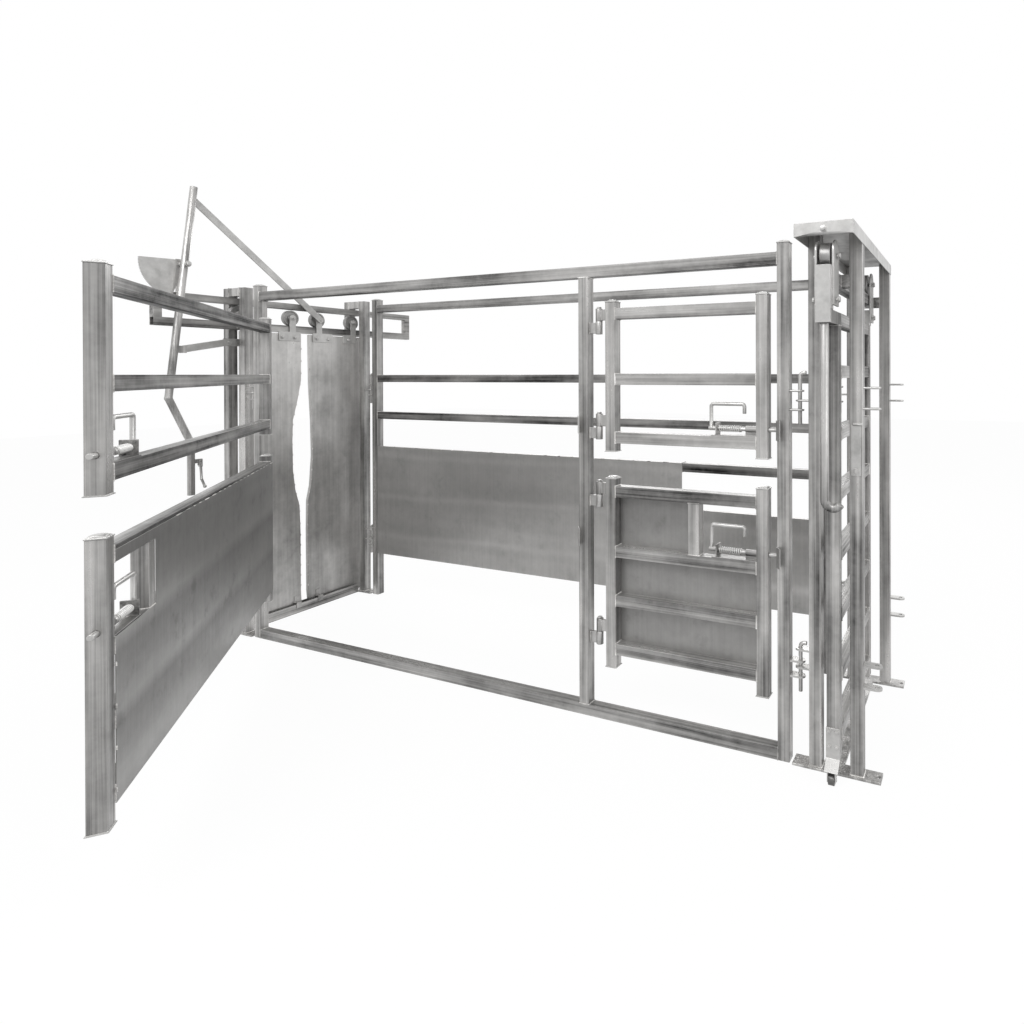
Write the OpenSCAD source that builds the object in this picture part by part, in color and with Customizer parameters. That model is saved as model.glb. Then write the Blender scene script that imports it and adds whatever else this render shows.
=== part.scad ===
// Cattle crush: a standing stall of square box tube. Two side panels, four swinging gates with
// sprung latch bolts on the near side, a head gate with two sliding yoke plates worked by one
// lever, and a hand-drawn slide gate at the rear.
// Millimetres. X runs from the head gate to the rear gate, Y away from the side with the
// swinging gates, Z up. The origin lies on the floor in the middle of the head gate's four
// anchor holes.

/* [Stall] */
// Height of the posts of the side panels
post_h = 2100; // [2090:1:2110]
// Clear width between the side panels
inside_w = 766; // [750:2:780]
// Clear length of the long bay on the near side
long_bay = 2251; // [2151:10:2351]
// Clear length of the short bay on the near side
short_bay = 902; // [852:10:1002]

/* [Tube] */
// Outside width of the square box tube
tube = 50; // [49:0.5:50]
// Wall thickness of the box tube
wall = 3; // [2:0.5:4]

/* [Gates] */
// How far the two long gates stand open, in degrees
long_open = 44; // [40:1:60]
// Gap between a closed gate and the post that it latches to
latch_gap = 40; // [38:1:44]

/* [Hidden] */
curve = 48;             // segments of the round parts
pin_clear = 0.3;        // radial clearance between bodies that turn in each other

// Widths, seen from above
half_in = inside_w / 2;
half_out = half_in + tube;
near_y = -half_out;
far_y = half_in;
near_mid = near_y + tube / 2;
far_mid = far_y + tube / 2;

// Lengths along the stall
head_pitch = 150;       // between the two uprights on each side of the head gate
join_gap = 80;          // between a side panel and the head or rear frame
panel_x = head_pitch / 2 + tube / 2 + join_gap;
mid_post_x = panel_x + tube + long_bay;
end_post_x = mid_post_x + tube + short_bay;
panel_end = end_post_x + tube;
rear_pitch = 163;       // between the two uprights on each side of the rear frame
rear_x = panel_end + join_gap + tube / 2 + rear_pitch / 2;

// Heights of the side panels
rail_top = post_h - 85;
far_rails = [rail_top - 497, rail_top - 759];
ledge_rail = 1011;
sheet_z = 297;
sheet_t = 3;
notch_x = mid_post_x + 106;
notch_z = 800;
member_w = 38;

// Swinging gates
hinge_off = 47;         // post face to hinge axis, and hinge axis to stile
lower_stile = [245, 1095];
lower_rails = [1015, 743, 522, 303];
lower_barrels = [960, 330];
upper_stile = [lower_stile[1] + 127, post_h - 205];
upper_low = upper_stile[0] + 36;
upper_rails = [upper_stile[1] - 77, upper_low + 264, upper_low];
upper_barrels = [upper_stile[1] - 142, upper_stile[0] + 49];
barrel_h = 118;
barrel_r = 16;
hinge_pin_r = 8;
strap_h = 50;
strap_t = 16;
long_l = long_bay - hinge_off - latch_gap;
short_l = short_bay - hinge_off - latch_gap;
long_axis = [panel_x + tube + hinge_off, near_mid];
short_axis = [mid_post_x + tube + hinge_off, near_mid];
window_w = 257;

// Latches, measured from the closed end of a gate
bolt_r = 9;
bolt_lift = 31;         // bolt axis above the rail that carries the latch
latch_z = [upper_rails[2] + tube + bolt_lift, lower_rails[1] + tube + bolt_lift];
latch_base_l = 200;
latch_lug_h = 56;
latch_lug_t = 5;
latch_throw = 18;       // travel of a bolt into its keeper and post
lug_in = latch_throw + 1;
guide_l = 52;
guide_r = 13.5;
collar_t = 6;
keeper_t = 4;
keeper_h = 82;
keeper_lip = 34;
lip_turn = 40;          // bend of the lip away from the keeper's plate
tip_gap = 2;            // between the resting bolt and its keeper
bolt_out = latch_gap - keeper_t - tip_gap;
spring_r = 12;
spring_wire_r = 2.1;
spring_turns = 10;
coil_steps = 8;         // rings of points to a turn
wire_sides = 6;
spring_x0 = tube + latch_base_l - lug_in - latch_lug_t;
spring_x1 = tube + guide_l + latch_throw + 1 + collar_t;
handle_r = 8;
handle_rise = 104;
handle_reach = 150;
handle_drop = 40;
handle_bend = 12;

// Head gate
track_w = 40;
track_z = 1847;
track_h = 46;
track_top_z = track_z + 151;
track_half = 857;
head_roller_r = 50;
head_axle_z = track_z + track_h + head_roller_r;
plate_x = 19;
plate_t = 3;
plate_z0 = 20;
plate_z1 = track_z - 7;
hanger_x = plate_x + plate_t;
axle_r = 8;
hanger_t = 8;
near_rollers = [-88, -413];
far_rollers = [96, 355];
channel_x0 = -5;
channel_w = 50;
channel_h = 60;
channel_t = 3;
rim_d = plate_x - channel_x0 - channel_t - 2;

// Lever and links, as [Y, Z] in the plane of the lever
pivot = [-734, track_top_z + 196];
lever_x = 71;
lever_r = 18;
lever_lean = 6.2;
lever_top = 448;
lever_bend = 755;
grip_y = -707;
grip_z = [1186, 891];
sector_r = 200;
sector_x = 30;
sector_t = 6;
sector_from = 14;
sector_to = 95;
tooth = 2.3;
tooth_h = 5;
pawl_pin = 238;
link_x = 38;
link_t = 8;
link_w = 40;
link_pin_r = 6;
link_pin_out = 10;      // pin past the far side of a link
link_pin_gap = 0.5;     // between the two halves of a shared pin
short_link = [[pivot[0] - 6.5, pivot[1] - 479], [-490, track_z - 80]];
long_link = [[pivot[0] + 61, pivot[1] + 377], [far_rollers[0], head_axle_z]];
trigger_pin = [-661, 1080];

// Rear frame and slide gate
rear_top = post_h + 18;
cap_h = 50;
cap_t = 3;
cap_out = 209;
rail_out = 212;
run_z = rear_top - 213;
run_out = 160;
run_wheel_r = 50;
run_axle_z = run_z + tube + run_wheel_r;
slide_rails = [1552, 1312, 1078, 844, 606, 373, 139];
slide_bottom = 80;
slide_top = rear_top - 363;
slide_far = near_y + 690;
hanger_z = [slide_top + 65, run_axle_z + 57];
hanger_bolt_z = hanger_z[0] + 22;
pull_out = 190;         // near stile to the pull handle
near_hanger_axle = 55;
near_hanger_bolt = 37;
far_hanger_axle = 35;
far_hanger_back = 10;
strip_z = [410, 1040];
pull_low = 1112;
hanger_off = 28;
floor_wheel_r = 21;
floor_wheel_w = 24;
foot_w = 54;
foot_t = 6;
foot_axle = 22;         // near face of the stile to the floor wheel's axle
foot_axle_r = 6;
fork_t = 4;
fork_gap = 1;           // side play of the floor wheel in its fork
head_l = 159;           // length of the near hanger's head piece above the rail
face_t = 4;

// Catch on the rear frame
catch_z = 1194;
catch_t = 6;
catch_pin_r = 6;
catch_grip_r = 6;

// Base plates
plate_l = 330;
rear_plate_l = 348;
plate_w = 70;
base_t = 10;
anchor_r = 8;
head_anchor = 145;
rear_anchor = 160;

// Connecting hardware between the frames
loop_r = 4.5;
loop_bend = 13;
join_pin_r = 8;
rod_eye_z = [1501, 1424];
mid_eye_z = 1462;
flat_eye_z = [411, 350];
frame_eye_z = [460, 388];
race_rod_z = [1514, 1433];
race_flat_z = [438, 352];
race_reach = 50;
upper_join = [1365, 1574];
lower_join = [287, 484];

// Colours
zinc = [0.66, 0.67, 0.68];
sheet_c = [0.60, 0.61, 0.62];
steel = [0.72, 0.73, 0.74];
dark = [0.35, 0.35, 0.36];

// Basic forms

module tube_x(x0, x1, y, z, w = tube, h = tube) {
    difference() {
        translate([x0, y, z]) cube([x1 - x0, w, h]);
        translate([x0 - 1, y + wall, z + wall]) cube([x1 - x0 + 2, w - 2 * wall, h - 2 * wall]);
    }
}

module tube_y(y0, y1, x, z, w = tube, h = tube) {
    difference() {
        translate([x, y0, z]) cube([w, y1 - y0, h]);
        translate([x + wall, y0 - 1, z + wall]) cube([w - 2 * wall, y1 - y0 + 2, h - 2 * wall]);
    }
}

module tube_z(z0, z1, x, y, w = tube, d = tube) {
    difference() {
        translate([x, y, z0]) cube([w, d, z1 - z0]);
        translate([x + wall, y + wall, z0 - 1]) cube([w - 2 * wall, d - 2 * wall, z1 - z0 + 2]);
    }
}

module rod_x(x0, x1, y, z, r) {
    translate([x0, y, z]) rotate([0, 90, 0]) cylinder(h = x1 - x0, r = r, $fn = curve);
}

module rod_y(y0, y1, x, z, r) {
    translate([x, y0, z]) rotate([-90, 0, 0]) cylinder(h = y1 - y0, r = r, $fn = curve);
}

module rod_z(z0, z1, x, y, r) {
    translate([x, y, z0]) cylinder(h = z1 - z0, r = r, $fn = curve);
}

// A flat bar with round ends in the YZ plane, drilled at both ends
// A link with a hole at a, and at b its own half of the pin that it shares with the lever
module link_bar(a, b, x, t, w, hole) {
    len = norm(b - a);
    turn = atan2(b[1] - a[1], b[0] - a[0]);
    translate([x, a[0], a[1]]) rotate([turn, 0, 0]) difference() {
        union() {
            translate([0, 0, -w / 2]) cube([t, len, w]);
            rod_x(0, t, 0, 0, w / 2);
            rod_x(0, t, len, 0, w / 2);
            rod_x(-link_pin_out, t, len, 0, link_pin_r);
        }
        rod_x(-1, t + 1, 0, 0, hole);
    }
}

// The pressed cap on the end of a box tube: a square with a shallow dome
module tube_cap(x, y, z) {
    lip = 2;
    rim_h = 5;
    rise = 9;
    side_h = 1;
    inset = 3;
    dome_w = tube - 2 * inset;
    crown = rise - side_h;
    dome_r = dome_w * dome_w / (4 * crown) + crown / 2;
    translate([x - lip, y - lip, z]) cube([tube + 2 * lip, tube + 2 * lip, rim_h]);
    translate([x + inset, y + inset, z + rim_h]) intersection() {
        cube([dome_w, dome_w, rise + 1]);
        translate([dome_w / 2, dome_w / 2, rise - dome_r]) sphere(r = dome_r, $fn = 96);
    }
}

// Rings of points of a coil of round wire along X from x0 to x1
function coil_rings(x0, x1, r, wire_r, turns) =
    let (n = turns * coil_steps, run = x1 - x0 - 2 * wire_r)
    [for (i = [0:n]) [for (j = [0:wire_sides - 1])
        let (a = 360 * i / coil_steps, b = 360 * j / wire_sides, q = r + wire_r * cos(b))
        [x0 + wire_r + run * i / n + wire_r * sin(b), q * cos(a), q * sin(a)]]];

// Least distance between the points of rings that are half a turn or more apart
function least_gap(rings) =
    min([for (i = [0:coil_steps]) for (k = [i + coil_steps / 2:2 * coil_steps])
        for (p = rings[i]) for (q = rings[k]) norm(p - q)]);

module coil_x(x0, x1, r, wire_r, turns) {
    rings = coil_rings(x0, x1, r, wire_r, turns);
    sides = wire_sides;
    n = turns * coil_steps;
    skin = [for (i = [0:n - 1]) for (j = [0:sides - 1])
        let (k = (j + 1) % sides)
        [i * sides + j, i * sides + k, (i + 1) * sides + k, (i + 1) * sides + j]];
    ends = [[for (j = [sides - 1:-1:0]) j], [for (j = [0:sides - 1]) n * sides + j]];
    polyhedron(points = [for (ring = rings) each ring], faces = concat(skin, ends), convexity = 4);
}

// Side panels

module near_posts() {
    color(zinc) {
        tube_z(0, post_h, panel_x, near_y);
        difference() {
            tube_z(tube, rail_top, mid_post_x, near_y);
            bolt_holes(mid_post_x);
        }
        difference() {
            tube_z(0, post_h, end_post_x, near_y);
            bolt_holes(end_post_x);
        }
    }
}

module bolt_holes(x) {
    for (z = latch_z) {
        rod_x(x - 1, x + wall + 1, near_mid, z, bolt_r + 1);
    }
}

module near_rails() {
    color(zinc) {
        tube_x(panel_x + tube, end_post_x, near_y, 0);
        tube_x(panel_x + tube, end_post_x, near_y, rail_top);
    }
}

module far_posts() {
    color(zinc) {
        tube_z(0, post_h, panel_x, far_y);
        tube_z(0, post_h, end_post_x, far_y);
    }
}

module far_rails() {
    color(zinc) {
        tube_x(panel_x + tube, end_post_x, far_y, rail_top);
        for (z = far_rails) {
            tube_x(panel_x + tube, end_post_x, far_y, z);
        }
        tube_x(notch_x + member_w, end_post_x, far_y, ledge_rail);
    }
}

module far_sheet() {
    flange = 25;
    color(sheet_c) {
        translate([panel_x + tube, far_y, sheet_z]) {
            cube([notch_x + member_w - panel_x - tube, sheet_t, ledge_rail + tube - sheet_z]);
        }
        translate([panel_x + tube, far_y + sheet_t, ledge_rail + tube - sheet_t]) {
            cube([notch_x + member_w - panel_x - tube, flange, sheet_t]);
        }
        translate([notch_x, far_y + sheet_t, sheet_z]) {
            cube([sheet_t, flange, ledge_rail + tube - 2 * sheet_t - sheet_z]);
        }
        translate([notch_x + member_w, far_y, sheet_z]) {
            cube([end_post_x - notch_x - member_w, sheet_t, notch_z - sheet_z]);
        }
        translate([notch_x + member_w, far_y + sheet_t, notch_z - sheet_t]) {
            cube([end_post_x - notch_x - member_w, flange, sheet_t]);
        }
    }
}

module post_caps() {
    color(steel) for (x = [panel_x, end_post_x]) for (y = [near_y, far_y]) {
        tube_cap(x, y, post_h);
    }
}

// Head gate frame

module head_uprights() {
    color(zinc) for (y = [near_y, far_y]) {
        for (s = [-1, 1]) {
            tube_z(base_t, post_h, s * head_pitch / 2 - tube / 2, y);
        }
        tube_x(tube / 2 - head_pitch / 2, head_pitch / 2 - tube / 2, y, post_h - tube);
    }
}

module head_track() {
    slot = head_pitch / 2 - tube / 2;
    side = track_w / 2;
    color(zinc) {
        tube_y(-track_half, track_half, -side, track_z, track_w, track_h);
        tube_y(-track_half, track_half, -side, track_top_z, track_w, track_w);
        for (y = [-track_half, track_half - track_w]) {
            tube_z(track_z + track_h, track_top_z, -side, y, track_w, track_w);
        }
        for (y = [near_y, far_y]) {
            translate([-slot, y, track_z]) cube([slot - side, tube, track_h]);
            translate([-slot, y, track_top_z]) cube([slot - side, tube, track_w]);
        }
    }
}

module floor_channel() {
    run = 2 * (half_out - (plate_w + tube) / 2);
    color(zinc) difference() {
        translate([channel_x0, -run / 2, 0]) cube([channel_w, run, channel_h]);
        translate([channel_x0 + channel_t, -run / 2 - 1, channel_t]) {
            cube([channel_w - 2 * channel_t, run + 2, channel_h]);
        }
    }
}

module base_plate(x, y, l, hole) {
    difference() {
        translate([x - l / 2, y - plate_w / 2, 0]) cube([l, plate_w, base_t]);
        for (s = [-1, 1]) {
            rod_z(-1, base_t + 1, x + s * hole, y, anchor_r);
        }
    }
}

module base_plates() {
    color(zinc) for (y = [near_mid, far_mid]) {
        base_plate(0, y, plate_l, head_anchor);
        base_plate(rear_x, y, rear_plate_l, rear_anchor);
    }
}

module lever_support() {
    side = track_w / 2;
    color(zinc) {
        difference() {
            translate([side, pivot[0] - 20, track_top_z]) {
                cube([sector_x - side, 40, pivot[1] + 30 - track_top_z]);
            }
            rod_x(side - 1, sector_x + 1, pivot[0], pivot[1], 8);
        }
    }
    color(dark) {
        rod_x(side - 10, lever_x + lever_r + 14, pivot[0], pivot[1], 8);
        difference() {
            rod_x(sector_x + sector_t, lever_x - lever_r - pin_clear, pivot[0], pivot[1], 16);
            rod_x(sector_x, lever_x, pivot[0], pivot[1], 8);
        }
        difference() {
            rod_x(lever_x + lever_r + 1, lever_x + lever_r + 12, pivot[0], pivot[1], 13);
            rod_x(lever_x, lever_x + lever_r + 20, pivot[0], pivot[1], 8);
        }
    }
}

// Points of the toothed arc, angles from straight down towards the near side
function arc_point(a, r) = [-r * sin(a), -r * cos(a)];

module toothed_sector() {
    teeth = floor((sector_to - sector_from) / tooth);
    tips = [for (i = [0:teeth - 1]) for (k = [0, 1])
        arc_point(sector_from + (i + 0.5 * k) * tooth, sector_r - (k == 0 ? tooth_h : 0))];
    last = arc_point(sector_from + teeth * tooth, sector_r - tooth_h);
    color(zinc) translate([sector_x, pivot[0], pivot[1]]) rotate([90, 0, 90]) difference() {
        linear_extrude(height = sector_t) {
            polygon(concat([[14, 14], [14, -20]], tips, [last, [-10, 26]]));
        }
        translate([0, 0, -1]) cylinder(h = sector_t + 2, r = 8, $fn = curve);
    }
}

// Connecting hardware

// An eye of bent rod that starts at a face and goes round a pin; s is its direction along X
module rod_eye(x, y, z, s, reach) {
    translate([x, y, z]) mirror([s < 0 ? 1 : 0, 0, 0]) {
        for (side = [-1, 1]) {
            rod_x(0, reach, side * loop_bend, 0, loop_r);
        }
        translate([reach, 0, 0]) rotate([0, 0, -90]) rotate_extrude(angle = 180, $fn = curve) {
            translate([loop_bend, 0]) circle(r = loop_r, $fn = 24);
        }
    }
}

// A flat eye with a round end and a hole for the pin
module plate_eye(x, y, z, s, reach) {
    t = 8;
    r = 20;
    translate([x, y, z - t / 2]) mirror([s < 0 ? 1 : 0, 0, 0]) difference() {
        union() {
            translate([0, -r, 0]) cube([reach, 2 * r, t]);
            translate([reach, 0, 0]) cylinder(h = t, r = r, $fn = curve);
        }
        translate([reach, 0, -1]) cylinder(h = t + 2, r = join_pin_r + 0.5, $fn = curve);
    }
}

// Eyes on the faces of two frames; pa is the side panel's face and pb the other frame's
module join_eyes(pa, pb, y) {
    s = pb > pa ? 1 : -1;
    mid = abs(pb - pa) / 2;
    for (z = rod_eye_z) {
        rod_eye(pa, y, z, s, mid);
    }
    rod_eye(pb, y, mid_eye_z, -s, mid);
    for (z = flat_eye_z) {
        plate_eye(pa, y, z, s, mid);
    }
    for (z = frame_eye_z) {
        plate_eye(pb, y, z, -s, mid);
    }
}

module joining_lugs() {
    rear_face = rear_x + rear_pitch / 2 + tube / 2;
    color(steel) for (y = [near_mid, far_mid]) {
        join_eyes(panel_x, head_pitch / 2 + tube / 2, y);
        join_eyes(panel_end, rear_x - rear_pitch / 2 - tube / 2, y);
        for (z = race_rod_z) {
            rod_eye(rear_face, y, z, 1, race_reach);
        }
        for (z = race_flat_z) {
            plate_eye(rear_face, y, z, 1, race_reach);
        }
    }
}

module join_pin(x, y, z) {
    bend_r = 16;
    rod_z(z[0], z[1] - bend_r, x, y, join_pin_r);
    translate([x + bend_r, y, z[1] - bend_r]) rotate([90, 0, 0]) rotate([0, 0, 90]) {
        rotate_extrude(angle = 90, $fn = curve) {
            translate([bend_r, 0]) circle(r = join_pin_r, $fn = 24);
        }
    }
    rod_x(x + bend_r, x + 26, y, z[1], join_pin_r);
}

module joining_pins() {
    spots = [panel_x - join_gap / 2, panel_end + join_gap / 2];
    color(steel) for (x = spots) for (y = [near_mid, far_mid]) {
        join_pin(x, y, upper_join);
        join_pin(x, y, lower_join);
    }
}

// Rear frame

module rear_uprights() {
    bar_w = 50;
    color(zinc) {
        for (y = [near_y, far_y]) for (s = [-1, 1]) {
            tube_z(base_t, rear_top, rear_x + s * rear_pitch / 2 - tube / 2, y);
        }
        translate([rear_x - bar_w / 2, -half_out + (plate_w + tube) / 2, 0]) {
            cube([bar_w, 2 * half_out - plate_w - tube, base_t]);
        }
    }
    color(steel) catch_pin();
}

// The pin that the gate catch swings on, with its head
module catch_pin() {
    x = rear_x + rear_pitch / 2;
    rod_y(near_y - catch_t - 2 * pin_clear, near_y, x, catch_z, catch_pin_r);
    rod_y(near_y - catch_t - 6, near_y - catch_t - 2 * pin_clear, x, catch_z, catch_pin_r + 5);
}

module rear_cap() {
    w = rear_pitch + tube + 2 * cap_t;
    color(zinc) difference() {
        translate([rear_x - w / 2, near_y - cap_out, rear_top + cap_t - cap_h]) {
            cube([w, 2 * half_out + cap_out, cap_h]);
        }
        translate([rear_x - w / 2 + cap_t, near_y - cap_out + cap_t, rear_top - cap_h - 1]) {
            cube([w - 2 * cap_t, 2 * half_out + cap_out, cap_h + 1]);
        }
        rod_y(near_y - cap_out - 1, near_y - cap_out + cap_t + 1, rear_x, rear_top - 24, 7);
    }
}

module rear_track() {
    slot = rear_pitch / 2 - tube / 2;
    color(zinc) {
        tube_y(near_y - run_out, half_out, rear_x - tube / 2, run_z);
        for (y = [near_y, far_y]) for (s = [-1, 1]) {
            translate([rear_x + s * (slot + tube / 2) / 2 - (slot - tube / 2) / 2, y, run_z]) {
                cube([slot - tube / 2, tube, tube]);
            }
        }
    }
}

module gate_catch() {
    x = rear_x + rear_pitch / 2;
    foot = catch_z - 20;
    h = 198;
    color(steel) {
        difference() {
            translate([x - 19, near_y - catch_t - pin_clear, foot]) cube([38, catch_t, h]);
            rod_y(near_y - 2 * catch_t, near_y + 1, x, catch_z, catch_pin_r + pin_clear);
        }
        rod_x(x - 12, x + 26, near_y - catch_grip_r - pin_clear, foot + h + 2, catch_grip_r);
    }
}

// Hinges

module strap(z) {
    translate([0, 0, z]) difference() {
        union() {
            translate([-hinge_off, -strap_t / 2, 4]) cube([hinge_off, strap_t, strap_h]);
            cylinder(h = barrel_h / 2 - pin_clear, r = barrel_r, $fn = curve);
        }
        translate([0, 0, -1]) cylinder(h = barrel_h, r = hinge_pin_r, $fn = curve);
    }
}

module hinge_pin(z) {
    translate([0, 0, z]) {
        cylinder(h = barrel_h + 2 * pin_clear, r = hinge_pin_r, $fn = curve);
        translate([0, 0, barrel_h + pin_clear]) cylinder(h = 7, r = 12, $fn = 6);
    }
}

module gate_knuckle(z) {
    translate([0, 0, z + barrel_h / 2]) difference() {
        union() {
            translate([0, -strap_t / 2, 4]) cube([hinge_off, strap_t, strap_h]);
            cylinder(h = barrel_h / 2, r = barrel_r, $fn = curve);
        }
        translate([0, 0, -1]) cylinder(h = barrel_h, r = hinge_pin_r + pin_clear, $fn = curve);
    }
}

module hinge_straps() {
    color(steel) for (axis = [long_axis, short_axis]) {
        translate([axis[0], axis[1], 0]) for (z = concat(upper_barrels, lower_barrels)) {
            strap(z);
        }
    }
}

module hinge_pins() {
    color(steel) for (axis = [long_axis, short_axis]) {
        translate([axis[0], axis[1], 0]) for (z = concat(upper_barrels, lower_barrels)) {
            hinge_pin(z);
        }
    }
}

// Keepers: a drilled plate on the post with a lip that leads the bolt in

module keeper(x, z) {
    tip = keeper_lip * [sin(lip_turn), -cos(lip_turn)];
    back = keeper_t * [-cos(lip_turn), -sin(lip_turn)];
    mitre = [-keeper_t, -keeper_t * tan(lip_turn / 2)];
    difference() {
        translate([x, near_y, z - keeper_h / 2]) linear_extrude(height = keeper_h) {
            polygon([[-keeper_t, tube], mitre, tip + back, tip, [0, 0], [0, tube]]);
        }
        rod_x(x - keeper_t - 1, x + 1, near_mid, z, bolt_r + 1);
    }
}

module keepers() {
    color(steel) for (x = [mid_post_x, end_post_x]) for (z = latch_z) {
        keeper(x, z);
    }
}

// Swinging gates, drawn closed with the hinge axis at the origin

module place_long() {
    translate([long_axis[0], long_axis[1], 0]) rotate([0, 0, -long_open]) children();
}

module place_short() {
    translate([short_axis[0], short_axis[1], 0]) children();
}

module gate_frame(l, stile, rails, barrels, latch) {
    half = tube / 2;
    tube_z(stile[0], stile[1], hinge_off, -half);
    difference() {
        tube_z(stile[0], stile[1], l - tube, -half);
        rod_x(l - tube - 1, l + 1, 0, latch, bolt_r + 1);
    }
    for (z = rails) {
        tube_x(hinge_off + tube, l - tube, -half, z);
    }
    for (z = barrels) {
        gate_knuckle(z);
    }
    latch_bracket(l, latch);
}

module sub_stile(l) {
    tube_z(lower_rails[1] + tube, lower_rails[0], l - 2 * tube - window_w, -tube / 2);
}

module latch_bracket(l, z) {
    t = bolt_lift - 26;
    base_z = z - bolt_lift;
    x0 = l - tube - latch_base_l;
    lug_x = x0 + lug_in;
    translate([x0, -tube / 2, base_z]) cube([latch_base_l, tube, t]);
    difference() {
        translate([lug_x, -tube / 2, base_z + t]) cube([latch_lug_t, tube, latch_lug_h - t]);
        rod_x(lug_x - 1, lug_x + latch_lug_t + 1, 0, z, bolt_r + pin_clear);
    }
    difference() {
        rod_x(l - tube - guide_l, l - tube, 0, z, guide_r);
        rod_x(l - tube - guide_l - 1, l - tube + 1, 0, z, bolt_r + pin_clear);
    }
    translate([l - tube - guide_l, -8, base_z + t]) {
        cube([guide_l, 16, bolt_lift - t - guide_r + 0.8]);
    }
}

module latch_bolt(l, z) {
    x0 = l - tube - latch_base_l - 8;
    x1 = x0 + handle_reach;
    top = z + handle_rise;
    bend_z = top - handle_bend;
    rod_x(x0 - handle_r - 3, l + bolt_out, 0, z, bolt_r);
    rod_x(l - spring_x1, l - spring_x1 + collar_t, 0, z, guide_r);
    rod_z(z, bend_z, x0, 0, handle_r);
    bend_handle(x0 + handle_bend, bend_z, 90);
    rod_x(x0 + handle_bend, x1 - handle_bend, 0, top, handle_r);
    bend_handle(x1 - handle_bend, bend_z, 0);
    rod_z(top - handle_drop, bend_z, x1, 0, handle_r);
}

module bend_handle(x, z, from) {
    translate([x, 0, z]) rotate([90, 0, 0]) rotate([0, 0, from]) {
        rotate_extrude(angle = 90, $fn = curve) {
            translate([handle_bend, 0]) circle(r = handle_r, $fn = 24);
        }
    }
}

spring_gap = least_gap(coil_rings(-spring_x0, -spring_x1, spring_r, spring_wire_r, spring_turns));
echo(spring_gap = spring_gap);

module latch_spring(l, z) {
    translate([0, 0, z]) coil_x(l - spring_x0, l - spring_x1, spring_r, spring_wire_r,
        spring_turns);
}

module gate_sheet(l) {
    z0 = lower_rails[3] - 5;
    z1 = lower_rails[0] + tube - 12;
    wx = l - 2 * tube - window_w;
    wz = lower_rails[1] + tube;
    difference() {
        translate([hinge_off, tube / 2, z0]) cube([l - tube - hinge_off, sheet_t, z1 - z0]);
        translate([wx, tube / 2 - 1, wz]) {
            cube([window_w + 2 * tube, sheet_t + 2, lower_rails[0] - wz]);
        }
    }
}

module gate_caps(l, stile) {
    for (x = [hinge_off, l - tube]) {
        tube_cap(x, -tube / 2, stile[1]);
    }
}

module long_upper_gate() {
    color(zinc) place_long() gate_frame(long_l, upper_stile, upper_rails, upper_barrels,
        latch_z[0]);
}

module long_upper_caps() {
    color(steel) place_long() gate_caps(long_l, upper_stile);
}

module long_upper_bolt() {
    color(steel) place_long() latch_bolt(long_l, latch_z[0]);
}

module long_upper_spring() {
    color(steel) place_long() latch_spring(long_l, latch_z[0]);
}

module long_lower_gate() {
    color(zinc) place_long() {
        gate_frame(long_l, lower_stile, lower_rails, lower_barrels, latch_z[1]);
        sub_stile(long_l);
    }
}

module long_lower_sheet() {
    color(sheet_c) place_long() gate_sheet(long_l);
}

module long_lower_caps() {
    color(steel) place_long() gate_caps(long_l, lower_stile);
}

module long_lower_bolt() {
    color(steel) place_long() latch_bolt(long_l, latch_z[1]);
}

module long_lower_spring() {
    color(steel) place_long() latch_spring(long_l, latch_z[1]);
}

module short_upper_gate() {
    color(zinc) place_short() gate_frame(short_l, upper_stile, upper_rails, upper_barrels,
        latch_z[0]);
}

module short_upper_caps() {
    color(steel) place_short() gate_caps(short_l, upper_stile);
}

module short_upper_bolt() {
    color(steel) place_short() latch_bolt(short_l, latch_z[0]);
}

module short_upper_spring() {
    color(steel) place_short() latch_spring(short_l, latch_z[0]);
}

module short_lower_gate() {
    color(zinc) place_short() {
        gate_frame(short_l, lower_stile, lower_rails, lower_barrels, latch_z[1]);
        sub_stile(short_l);
    }
}

module short_lower_sheet() {
    color(sheet_c) place_short() gate_sheet(short_l);
}

module short_lower_caps() {
    color(steel) place_short() gate_caps(short_l, lower_stile);
}

module short_lower_bolt() {
    color(steel) place_short() latch_bolt(short_l, latch_z[1]);
}

module short_lower_spring() {
    color(steel) place_short() latch_spring(short_l, latch_z[1]);
}

// Lever, trigger and pawl

// A round bar between two points of the lever's plane
module bar(a, b, x, r) {
    len = norm(b - a);
    turn = atan2(b[1] - a[1], b[0] - a[0]);
    translate([x, a[0], a[1]]) rotate([turn, 0, 0]) rotate([-90, 0, 0]) {
        cylinder(h = len, r = r, $fn = curve);
    }
}

function on_lever(d) = [pivot[0] + d * sin(lever_lean), pivot[1] + d * cos(lever_lean)];

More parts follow.
